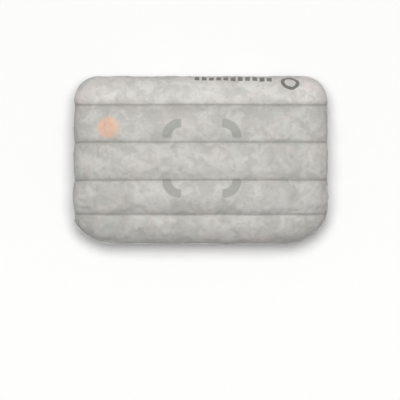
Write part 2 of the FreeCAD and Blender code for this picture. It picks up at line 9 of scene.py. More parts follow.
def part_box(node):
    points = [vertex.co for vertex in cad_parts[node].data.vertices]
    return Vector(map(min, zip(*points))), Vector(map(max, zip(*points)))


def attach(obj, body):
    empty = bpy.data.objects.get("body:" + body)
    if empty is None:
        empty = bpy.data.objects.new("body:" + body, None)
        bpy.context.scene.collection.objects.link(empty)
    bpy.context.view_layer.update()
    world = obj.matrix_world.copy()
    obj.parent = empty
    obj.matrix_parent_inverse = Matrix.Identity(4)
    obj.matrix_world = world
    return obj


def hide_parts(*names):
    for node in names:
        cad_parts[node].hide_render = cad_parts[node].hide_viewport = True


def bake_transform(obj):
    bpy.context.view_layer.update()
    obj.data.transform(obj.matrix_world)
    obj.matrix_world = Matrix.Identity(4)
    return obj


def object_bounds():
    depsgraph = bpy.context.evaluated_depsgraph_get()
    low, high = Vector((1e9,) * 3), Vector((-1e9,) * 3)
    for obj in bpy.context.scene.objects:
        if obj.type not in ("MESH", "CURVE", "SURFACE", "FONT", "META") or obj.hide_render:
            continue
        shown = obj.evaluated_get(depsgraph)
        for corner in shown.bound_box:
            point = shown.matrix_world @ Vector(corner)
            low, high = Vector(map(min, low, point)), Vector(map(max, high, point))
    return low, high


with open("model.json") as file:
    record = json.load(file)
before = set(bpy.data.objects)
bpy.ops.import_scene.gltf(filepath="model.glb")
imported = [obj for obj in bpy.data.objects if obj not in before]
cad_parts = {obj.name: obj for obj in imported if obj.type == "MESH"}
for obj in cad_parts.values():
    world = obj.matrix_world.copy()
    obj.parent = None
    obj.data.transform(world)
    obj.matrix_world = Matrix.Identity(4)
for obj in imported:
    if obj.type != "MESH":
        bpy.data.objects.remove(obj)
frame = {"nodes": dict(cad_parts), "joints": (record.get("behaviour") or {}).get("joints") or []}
cadLow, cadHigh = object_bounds()
scene = bpy.context.scene
scene.view_settings.view_transform = "Standard"
print("frame loaded")

# ---- the pillow's measures, all from the frame
weldLow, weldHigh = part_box("edge_weld")
halfLength = weldHigh[0]
halfDepth = weldHigh[1]
weldTop = weldHigh[2]
weldBottom = weldLow[2]
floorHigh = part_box("lock_patch_back_left")[1][2]  # the underside rests this high, on the patches
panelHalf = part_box("face_panel")[1][0]
lip = halfLength - panelHalf
webs = ["web_front", "web_lower", "web_upper", "web_back"]
seams = [(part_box(web)[0][1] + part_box(web)[1][1]) / 2 for web in webs]
joints = {joint["name"]: joint for joint in frame["joints"]}

inflation = {  # how the cloth behaves while it is blown up
    "quality": 5,
    "mass": 0.002,
    "tension_stiffness": 20,
    "compression_stiffness": 20,
    "shear_stiffness": 8,
    "bending_stiffness": 0.4,
    "use_pressure": True,
    "uniform_pressure_force": 4.0,
}
lastFrame = 20
smoothBelow = math.radians(50)  # edges of cloth sharper than this stay sharp
outline = {  # each corner's reach along and across, and how full it is
    "front": {-1: (0.066, 0.041, 1.62), 1: (0.069, 0.053, 1.66)},
    "back": {-1: (0.041, 0.041, 2.0), 1: (0.041, 0.041, 2.0)},
}


def deselectAll():
    bpy.ops.object.select_all(action="DESELECT")


def choose(piece):
    deselectAll()
    piece.select_set(True)
    bpy.context.view_layer.objects.active = piece


def smoothStep(value, low, high):
    share = np.clip((value - low) / (high - low), 0, 1)
    return share * share * (3 - 2 * share)


def superellipse(share, power):
    return np.clip(1 - np.abs(share) ** power, 0, None) ** (1 / power)


def outlineEdges(x, inset):  # front and back y of the outline at x, drawn in by inset
    edges = []
    end = 1 if x > 0 else -1
    for sign, side in ((-1, "front"), (1, "back")):
        along, across, power = outline[side][end]
        along, across = along - inset, across - inset
        past = max(0.0, abs(x) - (halfLength - inset - along))
        drop = across * (1 - superellipse(min(past / along, 1), power))
        edges.append(sign * (halfDepth - inset - drop))
    return edges


def evenSteps(points, count):  # the shares of a curve's own points, spread evenly along it
    steps = np.linalg.norm(np.diff(points, axis=0), axis=1)
    run = np.concatenate([[0], np.cumsum(steps)])
    return [np.interp(np.linspace(0, run[-1], count + 1), run, points[:, axis])
            for axis in range(points.shape[1])]


def arcRow(start, end, bulge, count):  # points of a bulged arc in the YZ plane
    start, end = np.array(start), np.array(end)
    along = end - start
    chord = np.linalg.norm(along)
    along = along / chord
    normal = np.array([-along[1], along[0]])
    if abs(bulge) < 1e-6:
        return start + np.linspace(0, 1, count + 1)[:, None] * (end - start)
    radius = (chord ** 2 / 4 + bulge ** 2) / (2 * bulge)
    half = 2 * math.atan(2 * bulge / chord)
    turn = np.linspace(-half, half, count + 1)
    sideways = radius * np.sin(turn)
    rise = radius * np.cos(turn) - (radius - bulge)
    return (start + end) / 2 + sideways[:, None] * along + rise[:, None] * normal


def gridSheet(name, points):  # a grid primitive laid over rows and columns of points
    rows, columns = points.shape[:2]
    deselectAll()
    bpy.ops.mesh.primitive_grid_add(x_subdivisions=columns - 1, y_subdivisions=rows - 1, size=2)
    sheet = bpy.context.object
    sheet.name = name
    sheet.data.name = name
    flat = getPoints(sheet)
    column = np.rint((flat[:, 0] + 1) / 2 * (columns - 1)).astype(int)
    row = np.rint((flat[:, 1] + 1) / 2 * (rows - 1)).astype(int)
    setPoints(sheet, points[row, column])
    return sheet, row, column


def readVectors(vertices, label):
    flat = np.empty(len(vertices) * 3)
    vertices.foreach_get(label, flat)
    return flat.reshape(-1, 3)


def getPoints(piece):
    return readVectors(piece.data.vertices, "co")


def setPoints(piece, points):
    piece.data.vertices.foreach_set("co", points.ravel())
    piece.data.update()


def getNormals(piece):
    return readVectors(piece.data.vertices, "normal")


def setAttribute(piece, name, values):
    attribute = piece.data.attributes.new(name, "FLOAT", "POINT")
    attribute.data.foreach_set("value", values.astype(np.float32))


def ripple(points, spacing, seed):  # smooth noise at each point, between -1 and 1
    offset = Vector((seed * 7.3, seed * 3.1, seed * 1.7))
    return np.array([noise.noise(Vector(point) / spacing + offset) for point in points])


def applyModifiers(piece):
    choose(piece)
    for modifier in list(piece.modifiers):
        bpy.ops.object.modifier_apply(modifier=modifier.name)


def inflate(sheet, pinned, slack, cap):  # cloth simulation, with its result kept in the mesh
    before = getPoints(sheet)
    group = sheet.vertex_groups.new(name="pinned")
    group.add([int(number) for number in np.nonzero(pinned)[0]], 1.0, "REPLACE")
    modifier = sheet.modifiers.new("inflate", "CLOTH")
    for label, value in inflation.items():
        setattr(modifier.settings, label, value)
    modifier.settings.shrink_min = -slack
    modifier.settings.vertex_group_mass = group.name
    modifier.settings.effector_weights.gravity = 0
    modifier.collision_settings.use_collision = False
    for step in range(1, lastFrame + 1):
        scene.frame_set(step)
    posed = sheet.evaluated_get(bpy.context.evaluated_depsgraph_get())
    moved = readVectors(posed.data.vertices, "co") - before
    sheet.modifiers.remove(modifier)
    sheet.vertex_groups.remove(group)
    scene.frame_set(1)
    far = np.linalg.norm(moved, axis=1, keepdims=True)
    print(sheet.name, "moved by up to", round(float(far.max()) * 1000, 1), "mm")
    setPoints(sheet, before + moved * (cap * np.tanh(far / cap) / np.maximum(far, 1e-9)))


def editAll():  # into edit mode, with everything selected
    bpy.ops.object.mode_set(mode="EDIT")
    bpy.ops.mesh.select_all(action="SELECT")


def leaveEdit(outwards=False):
    if outwards:
        bpy.ops.mesh.select_all(action="SELECT")
        bpy.ops.mesh.normals_make_consistent(inside=False)
    bpy.ops.object.mode_set(mode="OBJECT")


def softenEdges(piece, width, angle):
    soften = piece.modifiers.new("soften", "BEVEL")
    soften.width = width
    soften.segments = 2
    soften.limit_method = "ANGLE"
    soften.angle_limit = math.radians(angle)
    applyModifiers(piece)


def combine(piece, part, operation):
    modifier = piece.modifiers.new("combine", "BOOLEAN")
    modifier.operation = operation
    modifier.solver = "EXACT"
    modifier.object = part
    applyModifiers(piece)
    bpy.data.objects.remove(part)


def shell(piece, thickness):  # gives a sheet its wall, inwards from its outer face
    wall = piece.modifiers.new("wall", "SOLIDIFY")
    wall.thickness = thickness
    wall.offset = -1
    applyModifiers(piece)
    bpy.ops.object.shade_smooth_by_angle(angle=smoothBelow)


# ---- shader nodes


def link(tree, source, target):
    tree.links.new(source, target)


def newGroup(name, inputs, outputs):
    tree = bpy.data.node_groups.new(name, "ShaderNodeTree")
    for label, kind, value in inputs:
        socket = tree.interface.new_socket(label, in_out="INPUT", socket_type=kind)
        if value is not None:
            socket.default_value = value
    for label, kind in outputs:
        tree.interface.new_socket(label, in_out="OUTPUT", socket_type=kind)
    return tree, tree.nodes.new("NodeGroupInput"), tree.nodes.new("NodeGroupOutput")


def mathNode(tree, operation, *values):
    node = tree.nodes.new("ShaderNodeMath")
    node.operation = operation
    for socket, value in zip(node.inputs, values):
        if isinstance(value, (int, float)):
            socket.default_value = value
        else:
            link(tree, value, socket)
    return node.outputs[0]


def times(tree, value, by):
    return mathNode(tree, "MULTIPLY", value, by)


def noiseNode(tree, vector, scale, detail=2.0, roughness=0.5, distortion=0.0):
    node = tree.nodes.new("ShaderNodeTexNoise")
    node.inputs["Detail"].default_value = detail
    node.inputs["Roughness"].default_value = roughness
    node.inputs["Distortion"].default_value = distortion
    if isinstance(scale, (int, float)):
        node.inputs["Scale"].default_value = scale
    else:
        link(tree, scale, node.inputs["Scale"])
    link(tree, vector, node.inputs["Vector"])
    return node.outputs["Fac"]


def mapRange(tree, value, low, high, newLow=0.0, newHigh=1.0):
    node = tree.nodes.new("ShaderNodeMapRange")
    node.interpolation_type = "SMOOTHSTEP"
    node.inputs["From Min"].default_value = low
    node.inputs["From Max"].default_value = high
    node.inputs["To Min"].default_value = newLow
    node.inputs["To Max"].default_value = newHigh
    link(tree, value, node.inputs["Value"])
    return node.outputs["Result"]


def mixColour(tree, factor, first, second, mode="MIX"):
    node = tree.nodes.new("ShaderNodeMix")
    node.data_type = "RGBA"
    node.blend_type = mode
    for socket, value in ((node.inputs[0], factor), (node.inputs[6], first),
                          (node.inputs[7], second)):
        if isinstance(value, (int, float)):
            socket.default_value = value
        elif isinstance(value, tuple):
            socket.default_value = (*value[:3], 1)
        else:
            link(tree, value, socket)
    return node.outputs[2]


def mixShader(tree, factor, first, second):
    node = tree.nodes.new("ShaderNodeMixShader")
    for socket, value in zip(node.inputs, (factor, first, second)):
        link(tree, value, socket)
    return node.outputs[0]


def offsetVector(tree, vector, amount):
    node = tree.nodes.new("ShaderNodeVectorMath")
    node.operation = "ADD"
    link(tree, vector, node.inputs[0])
    node.inputs[1].default_value = amount
    return node.outputs[0]


def newMaterial(name, **constants):
    material = bpy.data.materials.new(name)
    material.use_nodes = True
    tree = material.node_tree
    shader = tree.nodes["Principled BSDF"]
    for label, value in constants.items():
        shader.inputs[label.replace("_", " ")].default_value = value
    coordinates = tree.nodes.new("ShaderNodeTexCoord")
    return material, tree, shader, coordinates


def bumpFrom(tree, shader, heights):  # stacks (height, distance, strength) bumps
    last = None
    for height, distance, strength in heights:
        bump = tree.nodes.new("ShaderNodeBump")
        bump.inputs["Distance"].default_value = distance
        bump.inputs["Strength"].default_value = strength
        link(tree, height, bump.inputs["Height"])
        if last:
            link(tree, last, bump.inputs["Normal"])
        last = bump.outputs["Normal"]
    link(tree, last, shader.inputs["Normal"])


# ---- camera, light and floor
camera = {
    "centre": (-0.0013, -0.0684),
    "height": 8.0,
    "width": 0.676,  # of the view, at the pillow's middle height
}
studio = {
    "key": {"place": (0, 0.48, 2.75), "size": 1.5, "power": 60},
    "under": {"place": (0.25, -0.35, -1.5), "size": 0.9, "power": 14},  # lights only the underside
    "world": 0.27,
    "floor": (0.955, 0.955, 0.95, 1),
    "keyShare": 0.66,  # of the floor's brightness right under the key light
    "floorGlow": (1, 1, 0.995, 1),
    "backdrop": (0.93, 0.93, 0.925, 1),
    "floorSize": 30,
    "aim": (0, 0, 0.06),
}


def addCamera():
    data = bpy.data.cameras.new("camera")
    data.sensor_width = 36
    data.lens = data.sensor_width * (camera["height"] - cadHigh[2] / 2) / camera["width"]
    data.clip_start = 0.1
    view = bpy.data.objects.new("camera", data)
    view.location = (*camera["centre"], camera["height"])
    scene.collection.objects.link(view)
    scene.camera = view


def addLight(name, facts):
    data = bpy.data.lights.new(name, "AREA")
    data.shape = "DISK"
    data.size = facts["size"]
    data.energy = facts["power"]
    lamp = bpy.data.objects.new(name, data)
    lamp.location = facts["place"]
    lamp.visible_camera = False
    aim = Vector(studio["aim"]) - Vector(facts["place"])
    lamp.rotation_euler = aim.to_track_quat("-Z", "Y").to_euler()
    scene.collection.objects.link(lamp)
    return lamp


def keyLoss(tree, place):  # what the key light loses away from its foot, for the eye only
    x, y, height = studio["key"]["place"]
    apart = tree.nodes.new("ShaderNodeVectorMath")
    apart.operation = "DISTANCE"
    apart.inputs[1].default_value = (x, y, 0)
    link(tree, place, apart.inputs[0])
    slant = mathNode(tree, "DIVIDE", apart.outputs["Value"], height)
    spread = mathNode(tree, "ADD", mathNode(tree, "POWER", slant, 2), 1)
    lost = mathNode(tree, "SUBTRACT", 1, mathNode(tree, "POWER", spread, -2))
    rays = tree.nodes.new("ShaderNodeLightPath")
    seen = times(tree, lost, rays.outputs["Is Camera Ray"])
    return times(tree, seen, studio["keyShare"])


def floorMaterial():  # opaque from above, clear to a camera that looks up from below
    material, tree, shader, coordinates = newMaterial(
        "paleFloor", Base_Color=studio["floor"], Roughness=0.9, Specular_IOR_Level=0.1,
        Emission_Color=studio["floorGlow"])
    link(tree, keyLoss(tree, coordinates.outputs["Object"]), shader.inputs["Emission Strength"])
    clear = tree.nodes.new("ShaderNodeBsdfTransparent")
    side = tree.nodes.new("ShaderNodeNewGeometry")
    surface = mixShader(tree, side.outputs["Backfacing"], shader.outputs[0], clear.outputs[0])
    link(tree, surface, tree.nodes["Material Output"].inputs["Surface"])
    return material


def whiteBackdrop(tree):  # the world looks white past the floor's edge, whatever it lights
    seen = tree.nodes.new("ShaderNodeBackground")
    seen.inputs["Color"].default_value = studio["backdrop"]
    rays = tree.nodes.new("ShaderNodeLightPath")
    surface = mixShader(tree, rays.outputs["Is Camera Ray"],
                        tree.nodes["Background"].outputs[0], seen.outputs[0])
    link(tree, surface, tree.nodes["World Output"].inputs["Surface"])


def addStudio():
    addLight("keyLight", studio["key"])
    world = bpy.data.worlds.new("studio")
    world.use_nodes = True
    light = world.node_tree.nodes["Background"]
    light.inputs["Color"].default_value = (1, 1, 1, 1)
    light.inputs["Strength"].default_value = studio["world"]
    whiteBackdrop(world.node_tree)
    scene.world = world
    deselectAll()
    bpy.ops.mesh.primitive_plane_add(size=studio["floorSize"])
    floor = bpy.context.object
    floor.name = "floor"
    floor.data.materials.append(floorMaterial())


def lightUnderside(pieces):  # a lamp under the floor that only these pieces see
    lamp = addLight("underLight", studio["under"])
    lit = bpy.data.collections.new("undersideLit")
    for piece in pieces:
        lit.objects.link(piece)
    lamp.data.cycles.max_bounces = 0
    lamp.light_linking.receiver_collection = lit
    lamp.light_linking.blocker_collection = lit


addCamera()
addStudio()
print("studio ready")

# ---- node groups that several materials share


def clothWeave():  # plain weave: threads over and under, on a piece's own UV map
    tree, entry, leave = newGroup(
        "clothWeave",
        [("Vector", "NodeSocketVector", None), ("Threads", "NodeSocketFloat", 900.0)],
        [("Height", "NodeSocketFloat"), ("Shade", "NodeSocketFloat")])
    split = tree.nodes.new("ShaderNodeSeparateXYZ")
    link(tree, entry.outputs["Vector"], split.inputs[0])
    waves = []
    for axis in (0, 1):
        turns = times(tree, split.outputs[axis], entry.outputs["Threads"])
        waves.append(mathNode(tree, "SINE", times(tree, turns, math.tau / 2)))
    cross = times(tree, waves[0], waves[1])
    link(tree, mathNode(tree, "MULTIPLY_ADD", cross, 0.5, 0.5), leave.inputs["Height"])
    uneven = noiseNode(tree, entry.outputs["Vector"], 160.0, 3.0)
    link(tree, mapRange(tree, uneven, 0.3, 0.7), leave.inputs["Shade"])
    return tree


def downMottle():  # soft patches where down clusters lie behind thin cloth
    tree, entry, leave = newGroup(
        "downMottle",
        [("Vector", "NodeSocketVector", None), ("Scale", "NodeSocketFloat", 1.0)],
        [("Patches", "NodeSocketFloat"), ("Wisps", "NodeSocketFloat"),
         ("Warm", "NodeSocketFloat"), ("Cool", "NodeSocketFloat")])
    scaled = tree.nodes.new("ShaderNodeVectorMath")
    scaled.operation = "SCALE"
    link(tree, entry.outputs["Vector"], scaled.inputs[0])
    link(tree, entry.outputs["Scale"], scaled.inputs["Scale"])
    place = scaled.outputs[0]
    layers = ((0.0, 20.0, 0.40, 0.3), (3.1, 52.0, 0.44, 0.7), (6.3, 140.0, 0.16, 1.0))
    total = None
    for offset, scale, weight, twist in layers:
        layer = noiseNode(tree, offsetVector(tree, place, (offset, offset / 2, 0)), scale,
                          1.5, 0.5, twist)
        share = times(tree, layer, weight)
        total = mathNode(tree, "ADD", total, share) if total else share
    link(tree, mapRange(tree, total, 0.41, 0.60), leave.inputs["Patches"])
    curls = noiseNode(tree, offsetVector(tree, place, (7.7, 2.9, 0)), 30.0, 2.0, 0.5, 1.6)
    ridge = mathNode(tree, "ABSOLUTE", mathNode(tree, "SUBTRACT", curls, 0.5))
    where = noiseNode(tree, offsetVector(tree, place, (0.4, 9.2, 0)), 70.0, 2.0)
    strokes = times(tree, mapRange(tree, ridge, 0.0, 0.042, 1.0, 0.0),
                    mapRange(tree, where, 0.53, 0.66))
    smudges = noiseNode(tree, offsetVector(tree, place, (2.2, 8.3, 0)), 82.0, 2.0, 0.5, 2.2)
    link(tree, mathNode(tree, "MAXIMUM", strokes, mapRange(tree, smudges, 0.62, 0.74)),
         leave.inputs["Wisps"])
    warm = noiseNode(tree, offsetVector(tree, place, (5.5, 5.1, 0)), 20.0, 2.0)
    link(tree, mapRange(tree, warm, 0.54, 0.70), leave.inputs["Warm"])
    cool = noiseNode(tree, offsetVector(tree, place, (1.2, 6.4, 0)), 17.0, 2.0)
    link(tree, mapRange(tree, cool, 0.56, 0.72), leave.inputs["Cool"])
    return tree


def mouldGrain():  # the fine grain and faint unevenness of moulded parts
    tree, entry, leave = newGroup(
        "mouldGrain",
        [("Vector", "NodeSocketVector", None), ("Grain", "NodeSocketFloat", 2600.0)],
        [("Height", "NodeSocketFloat"), ("Cloud", "NodeSocketFloat")])
    grain = noiseNode(tree, entry.outputs["Vector"], entry.outputs["Grain"], 2.0)
    link(tree, grain, leave.inputs["Height"])
    cloud = noiseNode(tree, entry.outputs["Vector"], 120.0, 3.0)
    link(tree, mapRange(tree, cloud, 0.3, 0.7), leave.inputs["Cloud"])
    return tree


groups = {"weave": clothWeave(), "mottle": downMottle(), "grain": mouldGrain()}


def useGroup(tree, name, vector, **values):
    node = tree.nodes.new("ShaderNodeGroup")
    node.node_tree = groups[name]
    link(tree, vector, node.inputs["Vector"])
    for label, value in values.items():
        node.inputs[label].default_value = value
    return node


# ---- the valve's own frame: x towards the middle of the pillow, y across, z out of the fabric
valve = {
    "hingeReach": 0.015,  # from the valve's middle to the plug's hinge
    "rim": 0.0014,
    "rimRadius": 0.018,
    "weldRadius": 0.0225,
    "facetFade": 0.006,  # how far past the weld the cloth leaves the valve's plane
    "holeRadius": 0.0142,
}
inboard = Vector(joints["cap_hinge"]["axis"]).normalized()
outward = -Vector(joints["flap_lift"]["axis"]).normalized()
across = outward.cross(inboard)
valveCentre = (Vector(joints["plug_hinge"]["pos_m"]) - inboard * valve["hingeReach"]
               - outward * valve["rim"])
valveFrame = Matrix((inboard, across, outward)).transposed().to_4x4()
valveFrame.translation = valveCentre

# ---- the quilted face
face = {
    "crown": 0.107,  # height of the seams in the middle
    "lengthPower": 3.6,
    "sidePower": 2.2,
    "puff": 0.010,  # before it is inflated
    "sideBulge": 0.235,
    "fade": 0.6,
    "columns": 88,  # in each half
    "rows": (30, 23, 26, 25, 30),
    "strip": 0.0011,  # half width of the pressed line along each seam
    "stripDepth": 0.0005,
    "margin": 0.006,
    "waver": 0.0009,
    "wall": 0.0007,
    "endPuff": (0.0025, 0.0042, 0.0022, 0.0020, 0.0038),  # how far each channel's ends stand out
    "endPuffHeight": 0.048,
    "endPower": 6,  # how close to the ends they start to
    "fullness": 0.7,
    "lumps": 0.0007,
    "puckers": 0.0007,
    "slack": 0.015,  # cloth to spare when inflated
    "cap": 0.006,  # the furthest that inflating moves a point
    "lumpSizes": (0.021, 0.010),
    "lumpStart": 0.012,  # from a seam to where the lumps are whole
    "puckerSize": 0.0075,
    "puckerStart": (0.001, 0.004),
    "puckerFade": 0.009,
    "calm": 0.02,  # height over the weld with fewer lumps
}
valleyWidth = 0.006  # of the shade that lies along each seam


def mirrored(places, values):  # the right half, with its mirror image before it
    return np.concatenate([-places[:0:-1], places]), np.concatenate([values[:0:-1], values])


def sectionGrid(places, sections):  # sections in YZ, side by side at their x
    return np.stack([np.column_stack([np.full(len(section), x), section])
                     for x, section in zip(places, sections)], axis=1)


def seamDistance(points):
    return np.min([np.abs(points[:, 1] - seam) for seam in seams], axis=0)


def rowsOff(row, numbers):  # how many rows off the nearest of the numbered ones
    return np.min([np.abs(row - number) for number in numbers], axis=0)


def onEdge(row, column):
    return (row == 0) | (row == row.max()) | (column == 0) | (column == column.max())


def markSeams(sheet, seamNear, distance):  # what the cloth's material reads
    setAttribute(sheet, "seam", np.clip(1 - 0.5 * seamNear, 0, 1))
    setAttribute(sheet, "seamShade", np.exp(-distance / valleyWidth))


def seamLines(x, front, back, margin):  # the four seams at x, kept inside the outline
    lines = []
    for number, seam in enumerate(seams):
        waver = face["waver"] * noise.noise(Vector((x * 16, number * 5.3, 0)))
        lines.append(min(max(seam + waver, front + margin), back - margin))
    return lines


def faceColumns():
    turn = np.linspace(0, math.pi / 2, 400)
    power = 2 / face["lengthPower"]
    curve = np.stack([panelHalf * np.sin(turn) ** power,
                      (face["crown"] - weldTop) * np.cos(turn) ** power], axis=1)
    places, heights = evenSteps(curve, face["columns"])
    heights[-1] = 0
    shares = heights / (face["crown"] - weldTop)
    return mirrored(places, shares)


def faceSection(x, share):
    front, back = outlineEdges(x, lip)
    lines = seamLines(x, front, back, face["margin"])
    rise = (face["crown"] - weldTop) * share
    heights = [weldTop + rise * float(superellipse(y / (back if y > 0 else front),
                                                   face["sidePower"])) for y in lines]
    rows = []
    start = (front, weldTop)
    strip = face["strip"]
    for number, count in enumerate(face["rows"]):
        outer = number in (0, len(face["rows"]) - 1)
        if number < len(lines):
            end = (lines[number] - strip, heights[number])
        else:
            end = (back, weldTop)
        chord = math.dist(start, end)
        bulge = (face["sideBulge"] * chord if outer else face["puff"]) * share ** face["fade"]
        rows.extend(arcRow(start, end, bulge, count))
        if number < len(lines):
            rows.append((lines[number], heights[number] - face["stripDepth"] * share))
            start = (lines[number] + strip, heights[number])
    return np.array(rows)


def seamRows(counts):  # the numbers of the rows that lie on the seams
    found = []
    row = -1
    for count in counts[:-1]:
        row += count + 2
        found.append(row)
    return found


def channelProfile(counts):  # each row's channel, and how full the channel is there
    numbers, fullness = [], []
    for number, count in enumerate(counts):
        numbers.extend([number] * (count + 1))
        fullness.extend(np.sin(math.pi * np.linspace(0, 1, count + 1)) ** face["fullness"])
        if number < len(counts) - 1:
            numbers.append(number)
            fullness.append(0)
    return np.array(numbers), np.array(fullness)


def puffEnds(points):
    channel, fullness = channelProfile(face["rows"])
    reach = np.array(face["endPuff"])[channel] * fullness
    rise = np.clip((points[..., 2] - weldTop) / face["endPuffHeight"], 0, 1)
    nearEnd = (np.abs(points[..., 0]) / panelHalf) ** face["endPower"]
    points[..., 0] += np.sign(points[..., 0]) * reach[:, None] * nearEnd * np.sin(math.pi * rise)


def buildFace():
    places, shares = faceColumns()
    points = sectionGrid(places, [faceSection(x, share) for x, share in zip(places, shares)])
    puffEnds(points)
    steps = np.linalg.norm(np.diff(points, axis=0), axis=2)
    fromBack = np.concatenate([np.cumsum(steps[::-1], axis=0)[::-1], np.zeros((1, len(places)))])
    sheet, row, column = gridSheet("facePanel", points)
    setAttribute(sheet, "fromBack", fromBack[row, column])
    seamNear = rowsOff(row, seamRows(face["rows"]))
    inflate(sheet, onEdge(row, column) | (seamNear <= 1), face["slack"], face["cap"])
    # lumps of down, and short puckers that fade away from each seam
    now = getPoints(sheet)
    distance = seamDistance(now)
    coarse, fine = face["lumpSizes"]
    lumps = ripple(now, coarse, 1) + 0.5 * ripple(now, fine, 2)
    puckers = ripple(now * (1, 0.15, 0.15), face["puckerSize"], 3)
    puckers = puckers * np.exp(-distance / face["puckerFade"])
    shift = (face["lumps"] * lumps * smoothStep(distance, 0, face["lumpStart"])
             + face["puckers"] * puckers * smoothStep(distance, *face["puckerStart"]))
    shift = shift * smoothStep(now[:, 2], weldTop, weldTop + face["calm"])
    setPoints(sheet, now + getNormals(sheet) * shift[:, None])
    markSeams(sheet, seamNear, distance)
    return sheet, row, column


# ---- the underside
base = {
    "flatHalf": 0.095,
    "facetHalf": 0.026,
    "columns": 84,
    "rows": (26, 22, 24, 23, 26),
    "strip": 0.0011,
    "stripDepth": 0.0004,
    "groove": 0.0013,
    "grooveRise": 0.012,  # deeper grooves where the underside turns up, past the webs
    "riseFrom": 0.16,
    "flatPower": 6,
    "flankBulge": 0.2,
    "margin": 0.006,
    "wall": 0.0007,
    "slack": 0.01,
    "cap": 0.004,
}


def bellyCurve(x):
    over = np.clip((x - base["flatHalf"]) / (panelHalf - base["flatHalf"]), 0, 1)
    return floorHigh + (weldBottom - floorHigh) * (1 - np.sqrt(1 - over ** 2))


def bellyHeight(x):  # straight across the facet that the valve sits on
    near = abs(valveCentre.x) - base["facetHalf"]
    far = abs(valveCentre.x) + base["facetHalf"]
    share = np.clip((x - near) / (far - near), 0, 1)
    facet = bellyCurve(near) * (1 - share) + bellyCurve(far) * share
    return np.where((x > near) & (x < far), facet, bellyCurve(x))


def baseSection(x, height):
    front, back = outlineEdges(x, lip)
    lines = seamLines(x, front, back, base["margin"])
    lift = (height - floorHigh) / (weldBottom - floorHigh)
    deeper = base["grooveRise"] * max(lift - base["riseFrom"], 0)
    groove = (base["groove"] + deeper) * math.sqrt(1 - lift)
    strip = base["strip"]
    rows = []
    start = (front, weldBottom)
    for number, count in enumerate(base["rows"]):
        if number < len(lines):
            end = (lines[number] - strip, height + groove)
        else:
            end = (back, weldBottom)
        if number in (0, len(base["rows"]) - 1):
            bulge = -base["flankBulge"] * math.dist(start, end) * math.sqrt(1 - lift)
            rows.extend(arcRow(start, end, bulge, count))
        else:
            share = np.linspace(0, 1, count + 1)
            y = start[0] + (end[0] - start[0]) * share
            z = height + groove * np.abs(2 * share - 1) ** base["flatPower"]
            rows.extend(np.column_stack([y, z]))
        if number < len(lines):
            rows.append((lines[number], height + groove + base["stripDepth"] * (1 - lift)))
            start = (lines[number] + strip, height + groove)
    return np.array(rows)


def ontoFacet(points):  # lays the cloth round the valve flat on the valve's plane
    plan = np.hypot(points[:, 0] - valveCentre.x, points[:, 1] - valveCentre.y)
    near = 1 - smoothStep(plan, valve["weldRadius"], valve["weldRadius"] + valve["facetFade"])
    plane = valveCentre.z - outward.x / outward.z * (points[:, 0] - valveCentre.x)
    points[:, 2] += (plane - points[:, 2]) * near
    return near


def buildBase():
    x = np.linspace(0, panelHalf, 600)
    places = evenSteps(np.stack([x, bellyHeight(x)], axis=1), base["columns"])[0]
    heights = bellyHeight(places)
    heights[-1] = weldBottom
    places, heights = mirrored(places, heights)
    sections = [baseSection(x, float(height)) for x, height in zip(places, heights)]
    sheet, row, column = gridSheet("basePanel", sectionGrid(places, sections)[::-1])
    now = getPoints(sheet)
    near = ontoFacet(now)
    setPoints(sheet, now)
    seamNear = rowsOff(row, [row.max() - number for number in seamRows(base["rows"])])
    inflate(sheet, onEdge(row, column) | (seamNear <= 1) | (near > 0), base["slack"], base["cap"])
    now = getPoints(sheet)
    now[:, 2] = np.maximum(now[:, 2], floorHigh)
    setPoints(sheet, now)
    markSeams(sheet, seamNear, seamDistance(now))
    return sheet


facePanel, faceRow, faceColumn = buildFace()
print("face panel shaped")
basePanel = buildBase()
print("base panel shaped")
baseTree = BVHTree.FromObject(basePanel, bpy.context.evaluated_depsgraph_get())

# ---- down in each channel, drawn in from the face
down = {
    "gap": 0.0016,
    "loft": 0.0085,
    "leastLoft": 0.12,
    "step": 2,
    "endColumns": 4,  # left free at each end
    "fluff": 0.0008,
    "fluffSize": 0.006,
}


def buildDown(name, rowLow, rowHigh, points, normals):
    rows = list(range(rowLow + 1, rowHigh, down["step"]))
    columns = slice(down["endColumns"], -down["endColumns"], down["step"])
    upwards = normals[rows][:, columns]
    upper = points[rows][:, columns] - upwards * down["gap"]
    across = np.sin(math.pi * np.linspace(0, 1, len(rows)))[:, None]
    along = np.sin(math.pi * np.linspace(0, 1, upper.shape[1]))[None, :]
    loft = np.sqrt((across * along).clip(0, 1)).clip(down["leastLoft"], 1)
    lower = upper - upwards * down["loft"] * loft[..., None]
    piece, row, column = gridSheet(name, upper)
    flat = getPoints(piece)
    fluff = np.abs(ripple(flat, down["fluffSize"], 9)) * down["fluff"]
    setPoints(piece, flat - upwards[row, column] * fluff[:, None])
    wall = piece.modifiers.new("loft", "SOLIDIFY")
    wall.thickness = 0.001
    wall.offset = -1
    applyModifiers(piece)
    moved = getPoints(piece)
    moved[len(flat):] = lower[row, column]
    setPoints(piece, moved)
    bpy.ops.object.shade_smooth()
    return piece


def buildDowns():
    rows, columns = faceRow.max() + 1, faceColumn.max() + 1
    points = np.empty((rows, columns, 3))
    normals = np.empty((rows, columns, 3))
    points[faceRow, faceColumn] = getPoints(facePanel)
    normals[faceRow, faceColumn] = getNormals(facePanel)
    edges = [0] + seamRows(face["rows"]) + [rows - 1]
    names = ("Front", "Lower", "Middle", "Upper", "Back")
    pieces = []
    for name, low, high in zip(names, edges, edges[1:]):
        piece = buildDown("down" + name, low, high, points, normals)
        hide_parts("down_" + name.lower())
        pieces.append(piece)
    return pieces


downs = buildDowns()
print("down shaped")

shell(facePanel, face["wall"])
shell(basePanel, base["wall"])


